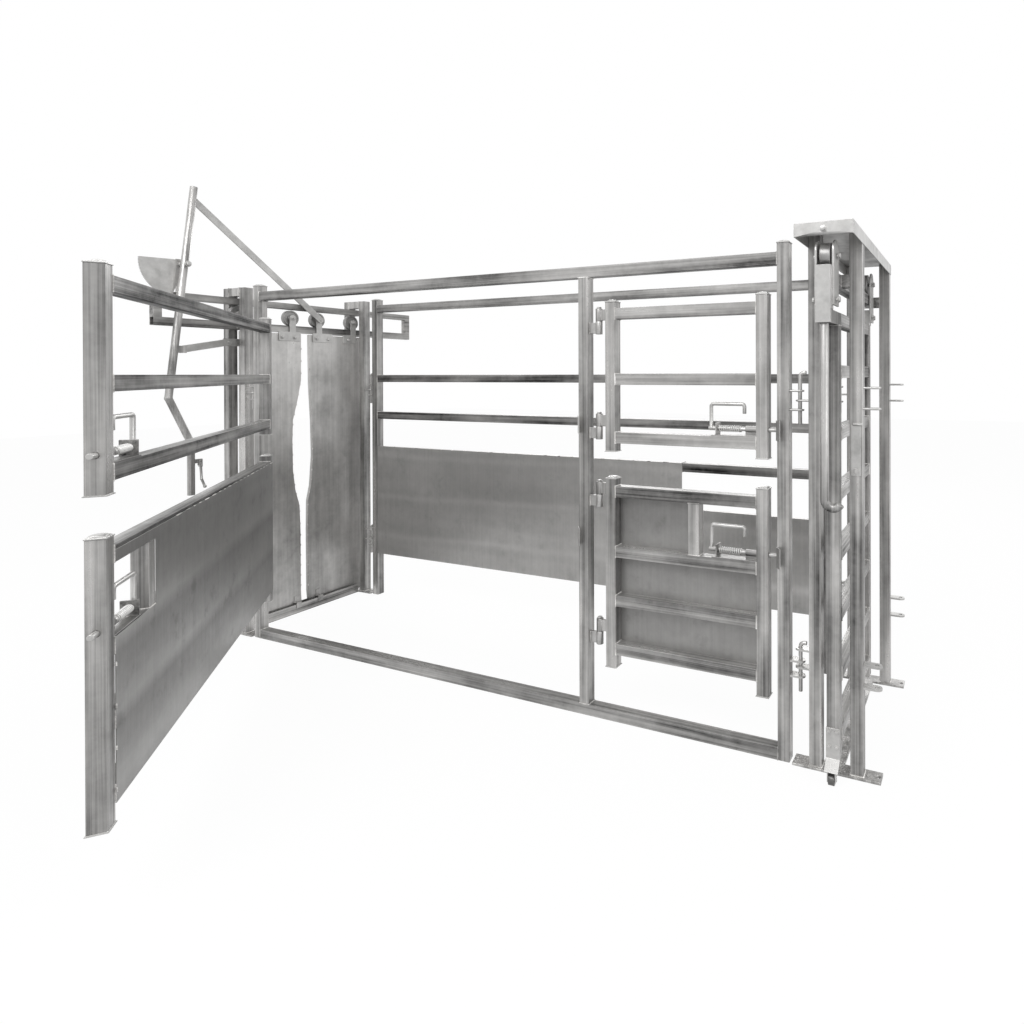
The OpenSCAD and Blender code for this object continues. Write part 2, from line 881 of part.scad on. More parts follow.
module head_lever() {
    bend = on_lever(-lever_bend);
    knee = [grip_y, grip_z[0]];
    pin = on_lever(-pawl_pin);
    short_pin = short_link[0];
    long_pin = long_link[0];
    weld = 1;
    color(zinc) difference() {
        union() {
            bar(on_lever(lever_top), bend, lever_x, lever_r);
            bar(bend, knee, lever_x, lever_r);
            bar(knee, [grip_y, grip_z[1]], lever_x, lever_r);
            translate([lever_x, bend[0], bend[1]]) sphere(r = lever_r + weld, $fn = curve);
            translate([lever_x, knee[0], knee[1]]) sphere(r = lever_r + weld, $fn = curve);
            translate([lever_x - 4, on_lever(-482)[0], short_pin[1] - 20]) {
                cube([8, short_pin[0] - on_lever(-482)[0] + 14, 40]);
            }
            translate([lever_x - 4, grip_y, trigger_pin[1] - 12]) {
                cube([8, trigger_pin[0] - grip_y + 10, 24]);
            }
            for (at = [short_pin, long_pin]) {
                rod_x(link_x + link_t + link_pin_gap, lever_x, at[0], at[1], link_pin_r);
            }
            rod_x(sector_x - 8, lever_x, pin[0], pin[1], link_pin_r);
            rod_x(lever_x - 12, lever_x + 12, trigger_pin[0], trigger_pin[1], 5);
        }
        rod_x(0, 200, pivot[0], pivot[1], 8 + pin_clear);
    }
}

module trigger() {
    tip = [trigger_pin[0] + 24, trigger_pin[1] - 150];
    curl = [trigger_pin[0] + 7, trigger_pin[1] - 105];
    half = 4;
    color(steel) difference() {
        union() {
            for (s = [-1, 1]) {
                translate([lever_x + s * 7 - 2.5, trigger_pin[0] - 9, trigger_pin[1] - 26]) {
                    cube([5, 18, 38]);
                }
            }
            translate([lever_x - 9.5, trigger_pin[0] - 5, trigger_pin[1] - 34]) {
                cube([19, 14, 18]);
            }
            bar([trigger_pin[0] + 3, trigger_pin[1] - 28], curl, lever_x, 6.5);
            bar(curl, tip, lever_x, 6.5);
            translate([lever_x, curl[0], curl[1]]) sphere(r = 7.5, $fn = curve);
            translate([lever_x, tip[0], tip[1]]) sphere(r = 9, $fn = curve);
        }
        rod_x(lever_x - 20, lever_x + 20, trigger_pin[0], trigger_pin[1], 5 + pin_clear);
    }
}

module pawl() {
    pin = on_lever(-pawl_pin);
    nose = pawl_pin - sector_r - 0.8;
    color(steel) translate([sector_x, pin[0], pin[1]]) rotate([90 - lever_lean, 0, 0]) {
        rotate([90, 0, 90]) difference() {
            linear_extrude(height = sector_t) {
                polygon([[-14, -13], [14, -13], [nose - 10, -7], [nose, 0], [nose - 10, 7],
                    [14, 13], [-14, 13]]);
            }
            translate([0, 0, -1]) {
                cylinder(h = sector_t + 2, r = link_pin_r + pin_clear, $fn = curve);
            }
        }
    }
}

module short_link() {
    color(zinc) link_bar(short_link[1], short_link[0], link_x, link_t, link_w,
        link_pin_r + pin_clear);
}

module long_link() {
    color(zinc) link_bar(long_link[1], long_link[0], link_x, link_t, link_w,
        axle_r + pin_clear);
}

// Yoke plates: the neck edge of each plate, as [Y, Z] from the floor up

near_neck = [[-30, plate_z0], [-36, 135], [-37, 536], [-43, 704], [-70, 808], [-86, 943],
    [-89, 1141], [-85, 1273], [-54, 1403], [-29, 1536], [-28, plate_z1]];
far_neck = [[22, plate_z0], [14, 120], [12, 526], [15, 727], [36, 825], [50, 1026],
    [45, 1264], [32, 1500], [28, 1785], [28, plate_z1]];

module sheet_yz(points, x, t) {
    translate([x, 0, 0]) rotate([90, 0, 90]) linear_extrude(height = t) polygon(points);
}

// A strip of even width that follows an edge, for the folded rim of a plate
module rim(edge, inner, x, t) {
    outer = [for (p = edge) [p[0] + inner, p[1]]];
    back = [for (i = [len(outer) - 1:-1:0]) outer[i]];
    sheet_yz(concat(edge, back), x, t);
}

module near_yoke() {
    outer = -half_in - 25;
    color(sheet_c) {
        sheet_yz(concat(near_neck, [[outer, plate_z1], [outer, plate_z0]]), plate_x, plate_t);
        rim(near_neck, -3, plate_x - rim_d, rim_d);
        translate([plate_x - rim_d, outer, plate_z0]) cube([rim_d, 3, plate_z1 - plate_z0]);
        guide_shoe(-84);
    }
}

module far_yoke() {
    outer = half_in + 37;
    color(sheet_c) {
        sheet_yz(concat(far_neck, [[outer, plate_z1], [outer, plate_z0]]), plate_x, plate_t);
        rim(far_neck, 3, plate_x - rim_d, rim_d);
        translate([plate_x - rim_d, outer - 3, plate_z0]) cube([rim_d, 3, plate_z1 - plate_z0]);
        guide_shoe(66);
    }
}

// A shoe at the foot of a plate that hooks over the floor channel's edge
module guide_shoe(y) {
    w = 34;
    t = 3;
    x0 = plate_x + plate_t;
    x1 = channel_x0 + channel_w + 1;
    translate([x0, y, channel_h + 6]) cube([4, w, 44]);
    translate([x0 + 4, y, channel_h + 6]) cube([x1 + t - x0 - 4, w, 5]);
    translate([x1, y, 34]) cube([t, w, channel_h + 6 - 34]);
}

// A hanger: a flat bolted to the plate that rises to a roller's axle
module hanger(y_axle, y0, y1) {
    r = 20;
    low = plate_z1 - 48;
    pad = plate_z1 + 12;
    difference() {
        union() {
            translate([hanger_x, y0, low]) cube([hanger_t, y1 - y0, pad - low]);
            translate([hanger_x, y_axle - r, pad]) cube([hanger_t, 2 * r, head_axle_z - pad]);
            rod_x(hanger_x, hanger_x + hanger_t, y_axle, head_axle_z, r);
        }
        rod_x(hanger_x - 1, hanger_x + hanger_t + 1, y_axle, head_axle_z, axle_r);
    }
    rod_x(-18, link_x + link_t + 3, y_axle, head_axle_z, axle_r);
}

module near_hangers() {
    color(steel) {
        hanger(near_rollers[0], -180, -36);
        hanger(near_rollers[1], near_rollers[1] + 6, near_rollers[1] + 80);
        near_pin_lug();
    }
}

// The pin near the outer edge of the near plate that takes the short link
module near_pin_lug() {
    pin = short_link[1];
    lug_y0 = -half_in - 25;
    difference() {
        translate([hanger_x, pin[0] - 20, pin[1] - 22]) {
            cube([hanger_t, lug_y0 - pin[0] + 60, 44]);
        }
        rod_x(hanger_x - 1, hanger_x + hanger_t + 1, pin[0], pin[1], 6);
    }
    rod_x(hanger_x, link_x + link_t + 6, pin[0], pin[1], 6);
}

module far_hangers() {
    color(steel) {
        hanger(far_rollers[0], 50, 190);
        hanger(far_rollers[1], far_rollers[1] - 80, far_rollers[1] + 20);
    }
}

module head_roller(y) {
    w = 30;
    groove = 3;
    color(dark) translate([-w / 2, y, head_axle_z]) rotate([0, 90, 0]) difference() {
        cylinder(h = w, r = head_roller_r - 0.2, $fn = curve);
        translate([0, 0, -1]) cylinder(h = w + 2, r = axle_r + pin_clear, $fn = curve);
        for (z = [-1, w - groove]) {
            translate([0, 0, z]) difference() {
                cylinder(h = groove + 1, r = head_roller_r - 10, $fn = curve);
                translate([0, 0, -1]) cylinder(h = groove + 3, r = 18, $fn = curve);
            }
        }
    }
}

module near_inner_roller() { head_roller(near_rollers[0]); }
module near_outer_roller() { head_roller(near_rollers[1]); }
module far_inner_roller() { head_roller(far_rollers[0]); }
module far_outer_roller() { head_roller(far_rollers[1]); }

// Slide gate

module slide_gate() {
    x = rear_x - tube / 2;
    strip_t = 3;
    color(zinc) {
        tube_y(near_y - rail_out, slide_far, x, slide_top);
        tube_z(slide_bottom, slide_top, x, near_y - tube);
        tube_z(slide_bottom, slide_top + tube, x, slide_far);
        for (z = slide_rails) {
            tube_y(near_y, slide_far, x, z);
        }
        translate([x - strip_t, near_y - tube, strip_z[0]]) {
            cube([strip_t, 18, strip_z[1] - strip_z[0]]);
        }
    }
}

module slide_hangers() {
    t = 8;
    near0 = near_y - pull_out;
    far0 = slide_far - far_hanger_back;
    reach = hanger_off + t + 8;
    color(steel) {
        for (y0 = [near0, far0]) for (s = [-1, 1]) {
            hanger_flat(s > 0 ? rear_x + hanger_off : rear_x - hanger_off - t, y0, t);
        }
        difference() {
            translate([rear_x - hanger_off, near_y - rail_out, slide_top + tube]) {
                cube([2 * hanger_off, tube, head_l]);
            }
            translate([rear_x - hanger_off + 4, near_y - rail_out + 4, slide_top + tube - 1]) {
                cube([2 * hanger_off - 8, tube, head_l + 2]);
            }
            rod_x(rear_x - 60, rear_x + 60, near0 + near_hanger_bolt, hanger_bolt_z, 6);
        }
        translate([rear_x - hanger_off, near_y - rail_out - face_t, slide_top]) {
            cube([2 * hanger_off, face_t, head_l + tube]);
        }
        difference() {
            translate([rear_x - hanger_off, slide_far, slide_top + tube]) {
                cube([2 * hanger_off, tube, 75]);
            }
            rod_x(rear_x - 60, rear_x + 60, far0 + far_hanger_axle, hanger_bolt_z, 6);
        }
        for (y = [near0 + near_hanger_bolt, far0 + far_hanger_axle]) {
            rod_x(rear_x - reach, rear_x + reach, y, hanger_bolt_z, 6);
        }
        for (y = [near0 + near_hanger_axle, far0 + far_hanger_axle]) {
            rod_x(rear_x - reach + 2, rear_x + reach - 2, y, run_axle_z, 8);
        }
    }
}

module hanger_flat(x, y0, t) {
    w = 70;
    far_pair = y0 > 0;
    axle_y = y0 + (far_pair ? far_hanger_axle : near_hanger_axle);
    bolt_y = y0 + (far_pair ? far_hanger_axle : near_hanger_bolt);
    difference() {
        union() {
            translate([x, y0, hanger_z[0]]) cube([t, w + 20, hanger_z[1] - hanger_z[0] - 45]);
            rod_x(x, x + t, y0 + 45, hanger_z[1] - 45, 45);
        }
        rod_x(x - 1, x + t + 1, axle_y, run_axle_z, 8);
        rod_x(x - 1, x + t + 1, bolt_y, hanger_bolt_z, 6);
    }
}

module track_wheel(y) {
    w = 40;
    color(dark) translate([rear_x - w / 2, y, run_axle_z]) rotate([0, 90, 0]) difference() {
        cylinder(h = w, r = run_wheel_r - 0.2, $fn = curve);
        translate([0, 0, -1]) cylinder(h = w + 2, r = 8 + pin_clear, $fn = curve);
    }
}

module slide_near_wheel() { track_wheel(near_y - pull_out + near_hanger_axle); }
module slide_far_wheel() { track_wheel(slide_far - far_hanger_back + far_hanger_axle); }

module pull_handle() {
    r = 16.5;
    bend = 30;
    y = near_y - pull_out;
    color(zinc) {
        difference() {
            rod_z(pull_low, slide_top, rear_x, y, r);
            rod_z(pull_low - 1, slide_top + 1, rear_x, y, r - wall);
        }
        translate([rear_x + bend, y, pull_low]) rotate([90, 0, 0]) rotate([0, 0, 180]) {
            rotate_extrude(angle = 150, $fn = curve) {
                translate([bend, 0]) circle(r = r, $fn = 32);
            }
        }
    }
}

module foot_bracket() {
    y1 = near_y - tube;
    fork_in = floor_wheel_w / 2 + fork_gap;
    bent = [
        [y1, 207], [y1 - foot_t, 207], [y1 - foot_t, 90], [y1 - 46, 58],
        [y1 - 42, 53], [y1, 86]
    ];
    cheek = [[y1 - 36, 14], [y1 - 8, 14], [y1 - 8, 82], [y1 - 36, 60]];
    color(steel) {
        sheet_yz(bent, rear_x - foot_w / 2, foot_w);
        for (x = [rear_x - fork_in - fork_t, rear_x + fork_in]) sheet_yz(cheek, x, fork_t);
        rod_x(rear_x - fork_in - fork_t - 2, rear_x + fork_in + fork_t + 2, y1 - foot_axle,
            floor_wheel_r, foot_axle_r);
    }
}

module floor_wheel() {
    color(dark) translate([rear_x - floor_wheel_w / 2, near_y - tube - foot_axle, floor_wheel_r]) {
        rotate([0, 90, 0]) difference() {
            cylinder(h = floor_wheel_w, r = floor_wheel_r, $fn = curve);
            translate([0, 0, -1]) {
                cylinder(h = floor_wheel_w + 2, r = foot_axle_r + pin_clear, $fn = curve);
            }
        }
    }
}

near_posts();
near_rails();
far_posts();
far_rails();
far_sheet();
post_caps();
head_uprights();
head_track();
floor_channel();
base_plates();
lever_support();
toothed_sector();
joining_lugs();
joining_pins();
rear_uprights();
rear_cap();
rear_track();
gate_catch();
hinge_straps();
hinge_pins();
keepers();
long_upper_gate();
long_upper_caps();
long_upper_bolt();
long_upper_spring();
long_lower_gate();
long_lower_sheet();
long_lower_caps();
long_lower_bolt();
long_lower_spring();
short_upper_gate();
short_upper_caps();
short_upper_bolt();
short_upper_spring();
short_lower_gate();
short_lower_sheet();
short_lower_caps();
short_lower_bolt();
short_lower_spring();
head_lever();
trigger();
pawl();
short_link();
long_link();
near_yoke();
near_hangers();
far_yoke();
far_hangers();
near_inner_roller();
near_outer_roller();
far_inner_roller();
far_outer_roller();
slide_gate();
slide_hangers();
pull_handle();
slide_near_wheel();
slide_far_wheel();
foot_bracket();
floor_wheel();
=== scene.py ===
"""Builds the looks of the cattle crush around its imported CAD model, as a Blender add-on.

Lengths are in metres in the part's own frame: X along the stall, Y across it, Z up.
"""

import math
from collections import namedtuple

import bpy
from bpy.props import FloatProperty, FloatVectorProperty, PointerProperty
from mathutils import Matrix, Vector


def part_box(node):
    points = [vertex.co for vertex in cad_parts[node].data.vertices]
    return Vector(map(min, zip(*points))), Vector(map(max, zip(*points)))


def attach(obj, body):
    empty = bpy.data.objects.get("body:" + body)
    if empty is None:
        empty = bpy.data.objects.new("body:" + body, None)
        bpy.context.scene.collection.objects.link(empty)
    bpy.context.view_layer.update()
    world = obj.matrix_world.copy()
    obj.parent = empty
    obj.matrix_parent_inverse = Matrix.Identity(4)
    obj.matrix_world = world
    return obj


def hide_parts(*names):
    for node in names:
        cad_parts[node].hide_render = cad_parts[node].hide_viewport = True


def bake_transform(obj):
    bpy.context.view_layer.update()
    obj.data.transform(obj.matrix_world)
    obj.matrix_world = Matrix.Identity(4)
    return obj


bl_info = {
    "name": "Cattle crush",
    "version": (1, 0, 0),
    "blender": (4, 5, 0),
    "location": "View3D > Sidebar > Crush",
    "description": "Adds the welds, fasteners, finishes and stage of a galvanised cattle crush",
    "category": "Object",
}

# Sizes of the stall, as its CAD source states them
TUBE = 0.05
HALF_OUT = 0.433
NEAR_Y = -HALF_OUT
FAR_Y = HALF_OUT - TUBE
PANEL_X = 0.18
MID_POST_X = 2.481
END_POST_X = 3.433
REAR_X = 3.6695
RAIL_TOP = 2.015
FAR_RAILS = (2.015, 1.518, 1.256)
LEDGE_X = 2.625
LEDGE_Z = 1.011
UPPER_RAILS = (1.818, 1.522, 1.258)
LOWER_RAILS = (1.015, 0.743, 0.522, 0.303)
HINGE_OFF = 0.047
SLIDE_RAILS = (1.755, 1.552, 1.312, 1.078, 0.844, 0.606, 0.373, 0.139)
SLIDE_FAR = 0.257
WINDOW_W = 0.257

# The gates of each bay: hinge axis, degrees that they stand turned, and length
Gate = namedtuple("Gate", "axis turn length")
GATES = {
    "long": Gate((0.277, -0.408), -44.0, 2.164),
    "short": Gate((2.578, -0.408), 0.0, 0.815),
}

# Feet of the hinge straps, and both ends of a latch spring, back from its gate's free end
BARRELS = (1.753, 1.271, 0.960, 0.330)
SPRING_BACK = (0.226, 0.127)
SPRING_TURNS = 10

# Front of the yoke plates, and points down the neck edge of each, across and up
YOKE_FACE = 0.022
NECK_EDGES = {
    "near_plate": (
        (-0.036, 0.135), (-0.037, 0.536), (-0.043, 0.704), (-0.070, 0.808), (-0.086, 0.943),
        (-0.089, 1.141), (-0.085, 1.273), (-0.054, 1.403), (-0.029, 1.536), (-0.028, 1.78),
    ),
    "far_plate": (
        (0.014, 0.120), (0.012, 0.526), (0.015, 0.727), (0.036, 0.825), (0.050, 1.026),
        (0.045, 1.264), (0.032, 1.500), (0.028, 1.785),
    ),
}

# The borders of a pattern keep this far off the faces that they follow
SKIN = 0.0005

# Drawn tube: how the marks are stretched along each direction, and how strong they are
ALONG_X = (1.6, 230, 230)
ALONG_Y = (230, 1.6, 230)
ALONG_Z = (230, 230, 1.6)
STREAKS = 0.42

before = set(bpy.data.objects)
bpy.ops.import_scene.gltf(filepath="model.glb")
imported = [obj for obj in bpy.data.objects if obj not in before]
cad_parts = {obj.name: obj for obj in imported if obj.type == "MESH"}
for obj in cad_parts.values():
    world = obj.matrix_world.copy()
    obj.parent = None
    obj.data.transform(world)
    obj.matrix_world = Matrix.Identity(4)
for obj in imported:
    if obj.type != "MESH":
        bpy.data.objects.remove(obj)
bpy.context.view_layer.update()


def length_prop(name, description, default, low, high):
    return FloatProperty(
        name=name, description=description, default=default, min=low, max=high, unit="LENGTH"
    )


def tint_prop(name, description, default):
    return FloatVectorProperty(
        name=name, description=description, subtype="COLOR", default=default, min=0, max=1
    )


class CrushSettings(bpy.types.PropertyGroup):
    """Sizes, each with its default, least and most, and colours."""
    bead_r: length_prop("Weld bead radius", "Half the width of a bead", 0.0032, 0.001, 0.006)
    spring_r: length_prop("Spring radius", "Radius of its windings", 0.012, 0.011, 0.0125)
    wire_r: length_prop("Spring wire radius", "Half its thickness", 0.0021, 0.001, 0.0025)
    edge_r: length_prop("Edge radius", "Rounding of the CAD parts", 0.0014, 0.0005, 0.0014)
    zinc: tint_prop("Zinc", "Colour of the galvanised tube", (0.395, 0.389, 0.381))
    sheet: tint_prop("Sheet", "Colour of the galvanised sheet", (0.30, 0.296, 0.290))
    bright: tint_prop("Hardware", "Colour of the bolts, pins and hinges", (0.54, 0.535, 0.525))
    coil: tint_prop("Springs", "Colour of the spring wire", (0.85, 0.845, 0.83))
    disc: tint_prop("Head rollers", "Colour of the head gate's rollers", (0.34, 0.336, 0.33))
    dark: tint_prop("Wheels", "Colour of the wheels of the slide gate", (0.13, 0.128, 0.125))
    weld: tint_prop("Welds", "Colour of the weld metal", (0.60, 0.59, 0.575))


# Finishes

def new_group(name, inputs, outputs):
    """An empty shader group with its sockets."""
    group = bpy.data.node_groups.new(name, "ShaderNodeTree")
    for label, kind, value in inputs:
        socket = group.interface.new_socket(label, in_out="INPUT", socket_type=kind)
        socket.default_value = value
    for label, kind in outputs:
        group.interface.new_socket(label, in_out="OUTPUT", socket_type=kind)
    return group


def add_node(tree, kind, **values):
    node = tree.nodes.new(kind)
    for key, value in values.items():
        setattr(node, key, value)
    return node


def noise(tree, vector, scale, detail, rough=0.5):
    """A cloudy texture, from 0 to 1 with most of it near the middle."""
    node = add_node(tree, "ShaderNodeTexNoise")
    node.inputs["Scale"].default_value = scale
    node.inputs["Detail"].default_value = detail
    node.inputs["Roughness"].default_value = rough
    tree.links.new(vector, node.inputs["Vector"])
    return node.outputs["Fac"]


def stretched(tree, vector, factors):
    """Coordinates times a factor for each direction: a small factor draws the marks out."""
    node = add_node(tree, "ShaderNodeVectorMath", operation="MULTIPLY")
    node.inputs[1].default_value = factors
    tree.links.new(vector, node.inputs[0])
    return node.outputs["Vector"]


def spread(tree, value, low, high):
    """Maps a texture's middle range to low..high."""
    node = add_node(tree, "ShaderNodeMapRange")
    node.inputs["From Min"].default_value = 0.35
    node.inputs["From Max"].default_value = 0.65
    node.inputs["To Min"].default_value = low
    node.inputs["To Max"].default_value = high
    tree.links.new(value, node.inputs["Value"])
    return node.outputs["Result"]


def math_node(tree, operation, a, b):
    """One sum of two values, each of them a socket or a number."""
    node = add_node(tree, "ShaderNodeMath", operation=operation)
    for socket, value in zip(node.inputs, (a, b)):
        if isinstance(value, (int, float)):
            socket.default_value = value
        else:
            tree.links.new(value, socket)
    return node.outputs["Value"]


def total(tree, *values):
    """The sum of some sockets."""
    result = values[0]
    for value in values[1:]:
        result = math_node(tree, "ADD", result, value)
    return result


def metal_group(name):
    """Shared end of each finish: grain, spangle, stains and dents over a pattern's own tone.

    Painted light from above: faces that look up are lighter than those that look down, and a
    little less rough.
    """
    group = new_group(
        name,
        [("Base", "NodeSocketColor", (0.5, 0.5, 0.5, 1)), ("Rough", "NodeSocketFloat", 0.4),
         ("Tone", "NodeSocketFloat", 0.0), ("Mottle", "NodeSocketFloat", 0.5),
         ("Dent", "NodeSocketFloat", 0.5)],
        [("Color", "NodeSocketColor"), ("Roughness", "NodeSocketFloat"),
         ("Normal", "NodeSocketVector")],
    )
    enter = add_node(group, "NodeGroupInput")
    leave = add_node(group, "NodeGroupOutput")
    coords = add_node(group, "ShaderNodeTexCoord")
    place = coords.outputs["Object"]
    facing = add_node(group, "ShaderNodeSeparateXYZ")
    group.links.new(coords.outputs["Normal"], facing.inputs[0])
    # Painted light: faces that look up are made lighter and those that look down darker
    painted_light_from_above = 0.42
    lit = math_node(group, "MULTIPLY", facing.outputs["Z"], painted_light_from_above)
    clouds = spread(group, noise(group, place, 3.2, 3), -0.5, 0.5)
    blotch = spread(group, noise(group, place, 22, 5, 0.6), -0.3, 0.3)
    cells = add_node(group, "ShaderNodeTexVoronoi")
    spangles_per_metre = 70
    cells.inputs["Scale"].default_value = spangles_per_metre
    group.links.new(place, cells.inputs["Vector"])
    tint = add_node(group, "ShaderNodeSeparateColor")
    group.links.new(cells.outputs["Color"], tint.inputs["Color"])
    spangle = math_node(group, "SUBTRACT", tint.outputs["Red"], 0.5)
    spangle = math_node(group, "MULTIPLY", spangle, 0.2)
    marks = total(group, clouds, blotch, spangle)
    mottled = math_node(group, "MULTIPLY", marks, enter.outputs["Mottle"])
    change = total(group, mottled, enter.outputs["Tone"], lit)
    rare = 6.0
    depth = 0.09
    stain = spread(group, noise(group, place, 9, 6, 0.65), 0.0, 1.0)
    stain = math_node(group, "MULTIPLY", math_node(group, "POWER", stain, rare), depth)
    value = math_node(group, "SUBTRACT", math_node(group, "ADD", 1.0, change), stain)
    tone = add_node(group, "ShaderNodeVectorMath", operation="SCALE")
    group.links.new(enter.outputs["Base"], tone.inputs[0])
    group.links.new(value, tone.inputs["Scale"])
    group.links.new(tone.outputs["Vector"], leave.inputs["Color"])
    smoother = math_node(group, "MULTIPLY", change, 0.2)
    rough = math_node(group, "SUBTRACT", enter.outputs["Rough"], smoother)
    group.links.new(math_node(group, "ADD", rough, stain), leave.inputs["Roughness"])
    fine = noise(group, place, 180, 4, 0.6)
    dents = math_node(group, "MULTIPLY", noise(group, place, 5, 2), 8.0)
    dented = math_node(group, "MULTIPLY", dents, enter.outputs["Dent"])
    height = math_node(group, "ADD", dented, fine)
    relief = math_node(group, "MULTIPLY", enter.outputs["Tone"], 1.5)
    height = math_node(group, "ADD", height, relief)
    bump = add_node(group, "ShaderNodeBump")
    bump.inputs["Strength"].default_value = 0.3
    bump.inputs["Distance"].default_value = 0.001
    group.links.new(height, bump.inputs["Height"])
    group.links.new(bump.outputs["Normal"], leave.inputs["Normal"])
    return group


def along(tree, place, turn, at):
    """Object coordinates moved and turned so that X runs along a gate from its hinge."""
    node = add_node(tree, "ShaderNodeMapping", vector_type="TEXTURE")
    node.inputs["Location"].default_value = (at[0], at[1], 0)
    node.inputs["Rotation"].default_value = (0, 0, math.radians(turn))
    tree.links.new(place, node.inputs["Vector"])
    return node.outputs["Vector"]


def drawn(tree, place, stretch, amount):
    """The tone of drawn tube: bands that run with its length, and slanting patches along it."""
    wide = stretched(tree, place, [v * 0.22 for v in stretch])
    patchy = stretched(tree, place, [1.4 + v * 0.05 for v in stretch])
    broad = spread(tree, noise(tree, wide, 1, 2, 0.6), -0.6, 0.6)
    fine = spread(tree, noise(tree, stretched(tree, place, stretch), 1, 3, 0.7), -0.4, 0.4)
    patches = spread(tree, noise(tree, patchy, 1, 2, 0.55), -0.9, 0.9)
    return math_node(tree, "MULTIPLY", total(tree, broad, fine, patches), amount)


def tube_pattern(stretch, shift=0.0):
    """Bands all one way, over a tone of their own."""
    def build(tree, place):
        return math_node(tree, "ADD", drawn(tree, place, stretch, STREAKS), shift)
    return build


def between(tree, value, low, high):
    """1 where a value lies between two limits."""
    return math_node(tree, "MULTIPLY", math_node(tree, "GREATER_THAN", value, low),
                     math_node(tree, "LESS_THAN", value, high))


def gate_pattern(turn, at, low, high, rails=ALONG_X, inner=None, rail_tone=0.0):
    """Bands along the rails between two distances from the hinge, and upright on the stiles.

    inner is the low and high end of a short upright between two rails, first along and then up.
    rail_tone makes the rails darker or lighter than the stiles.
    """
    def build(tree, place):
        local = along(tree, place, turn, at)
        split = add_node(tree, "ShaderNodeSeparateXYZ")
        tree.links.new(local, split.inputs[0])
        run = split.outputs["X"] if rails == ALONG_X else split.outputs["Y"]
        level = between(tree, run, low, high)
        if inner:
            stub = math_node(tree, "MULTIPLY", between(tree, run, inner[0], inner[1]),
                             between(tree, split.outputs["Z"], inner[2], inner[3]))
            level = math_node(tree, "SUBTRACT", level, stub)
        mix = add_node(tree, "ShaderNodeMix", data_type="FLOAT")
        tree.links.new(level, mix.inputs["Factor"])
        level_tone = math_node(tree, "ADD", drawn(tree, local, rails, STREAKS), rail_tone)
        tree.links.new(drawn(tree, local, ALONG_Z, STREAKS), mix.inputs[2])
        tree.links.new(level_tone, mix.inputs[3])
        return mix.outputs[0]
    return build


def painted_bay_shading(tree, local):
    """Painted light and shadow: 1 at the foot of each bay of a lower gate, falling to 0 in a
    painted shadow under the rail above it.
    """
    split = add_node(tree, "ShaderNodeSeparateXYZ")
    tree.links.new(local, split.inputs[0])
    top = LOWER_RAILS[0] + TUBE
    ramp = add_node(tree, "ShaderNodeValToRGB")
    stops = ramp.color_ramp.elements
    for stop in stops:
        stop.color = (0.5, 0.5, 0.5, 1)
    levels = sorted(LOWER_RAILS)
    for below, above in zip(levels, levels[1:]):
        for z, shade in ((below + TUBE, 1.0), (above, 0.0)):
            stops.new(z / top).color = (shade, shade, shade, 1)
    tree.links.new(math_node(tree, "DIVIDE", split.outputs["Z"], top), ramp.inputs["Fac"])
    return ramp.outputs["Color"]


def smears(tree, place, stretch, detail, rough):
    """Stretched clouds, from about -0.5 to 0.5."""
    clouds = noise(tree, stretched(tree, place, stretch), 1, detail, rough)
    return spread(tree, clouds, -0.5, 0.5)


def buckle_highlights(tree, place):
    """Painted highlights: thin light wavering level lines, where a sheet that has buckled a
    little catches the light.
    """
    wave = add_node(tree, "ShaderNodeTexWave", bands_direction="Z")
    wave.inputs["Scale"].default_value = 1.1
    wave.inputs["Distortion"].default_value = 2.6
    wave.inputs["Detail"].default_value = 2.0
    wave.inputs["Detail Scale"].default_value = 0.6
    tree.links.new(stretched(tree, place, (0.5, 1, 1)), wave.inputs["Vector"])
    thin = 14.0
    crest = math_node(tree, "POWER", wave.outputs["Fac"], thin)
    return math_node(tree, "MULTIPLY", crest, 0.16)


def sheet_pattern(turn, at, painted_bay_depth=0.0):
    """Rolled sheet: level waves and upright drips; on a gate, painted light at the foot of each
    bay and painted shadow under each rail, else thin painted highlights.
    """
    def build(tree, place):
        local = along(tree, place, turn, at)
        waves = smears(tree, local, (0.5, 5, 7), 2, 0.4)
        drips = smears(tree, local, (60, 60, 2), 3, 0.6)
        tone = math_node(tree, "ADD", math_node(tree, "MULTIPLY", waves, 0.16),
                         math_node(tree, "MULTIPLY", drips, 0.08))
        if painted_bay_depth:
            # Painted shadow under each rail and painted light towards the foot of each bay
            shade = math_node(tree, "SUBTRACT", painted_bay_shading(tree, local), 0.5)
            return math_node(tree, "ADD", tone, math_node(tree, "MULTIPLY", shade, painted_bay_depth))
        # Painted highlights along the buckles of a sheet that is not on a gate
        return math_node(tree, "ADD", tone, buckle_highlights(tree, local))
    return build


def yoke_pattern():
    """Sheet that was dipped upright: clouds and upright streaks, with painted light that makes
    it lighter towards the top.
    """
    even_z = 0.7
    painted_light_slope = 0.32

    def build(tree, place):
        split = add_node(tree, "ShaderNodeSeparateXYZ")
        tree.links.new(place, split.inputs[0])
        # Painted light: lighter above even_z and darker below it
        above = math_node(tree, "SUBTRACT", split.outputs["Z"], even_z)
        painted_light_high = math_node(tree, "MULTIPLY", above, painted_light_slope)
        clouds = smears(tree, place, (4, 4, 1.4), 4, 0.6)
        streaks = smears(tree, place, (70, 70, 1.5), 3, 0.6)
        return total(tree, math_node(tree, "MULTIPLY", clouds, 0.42),
                     math_node(tree, "MULTIPLY", streaks, 0.16), painted_light_high)
    return build


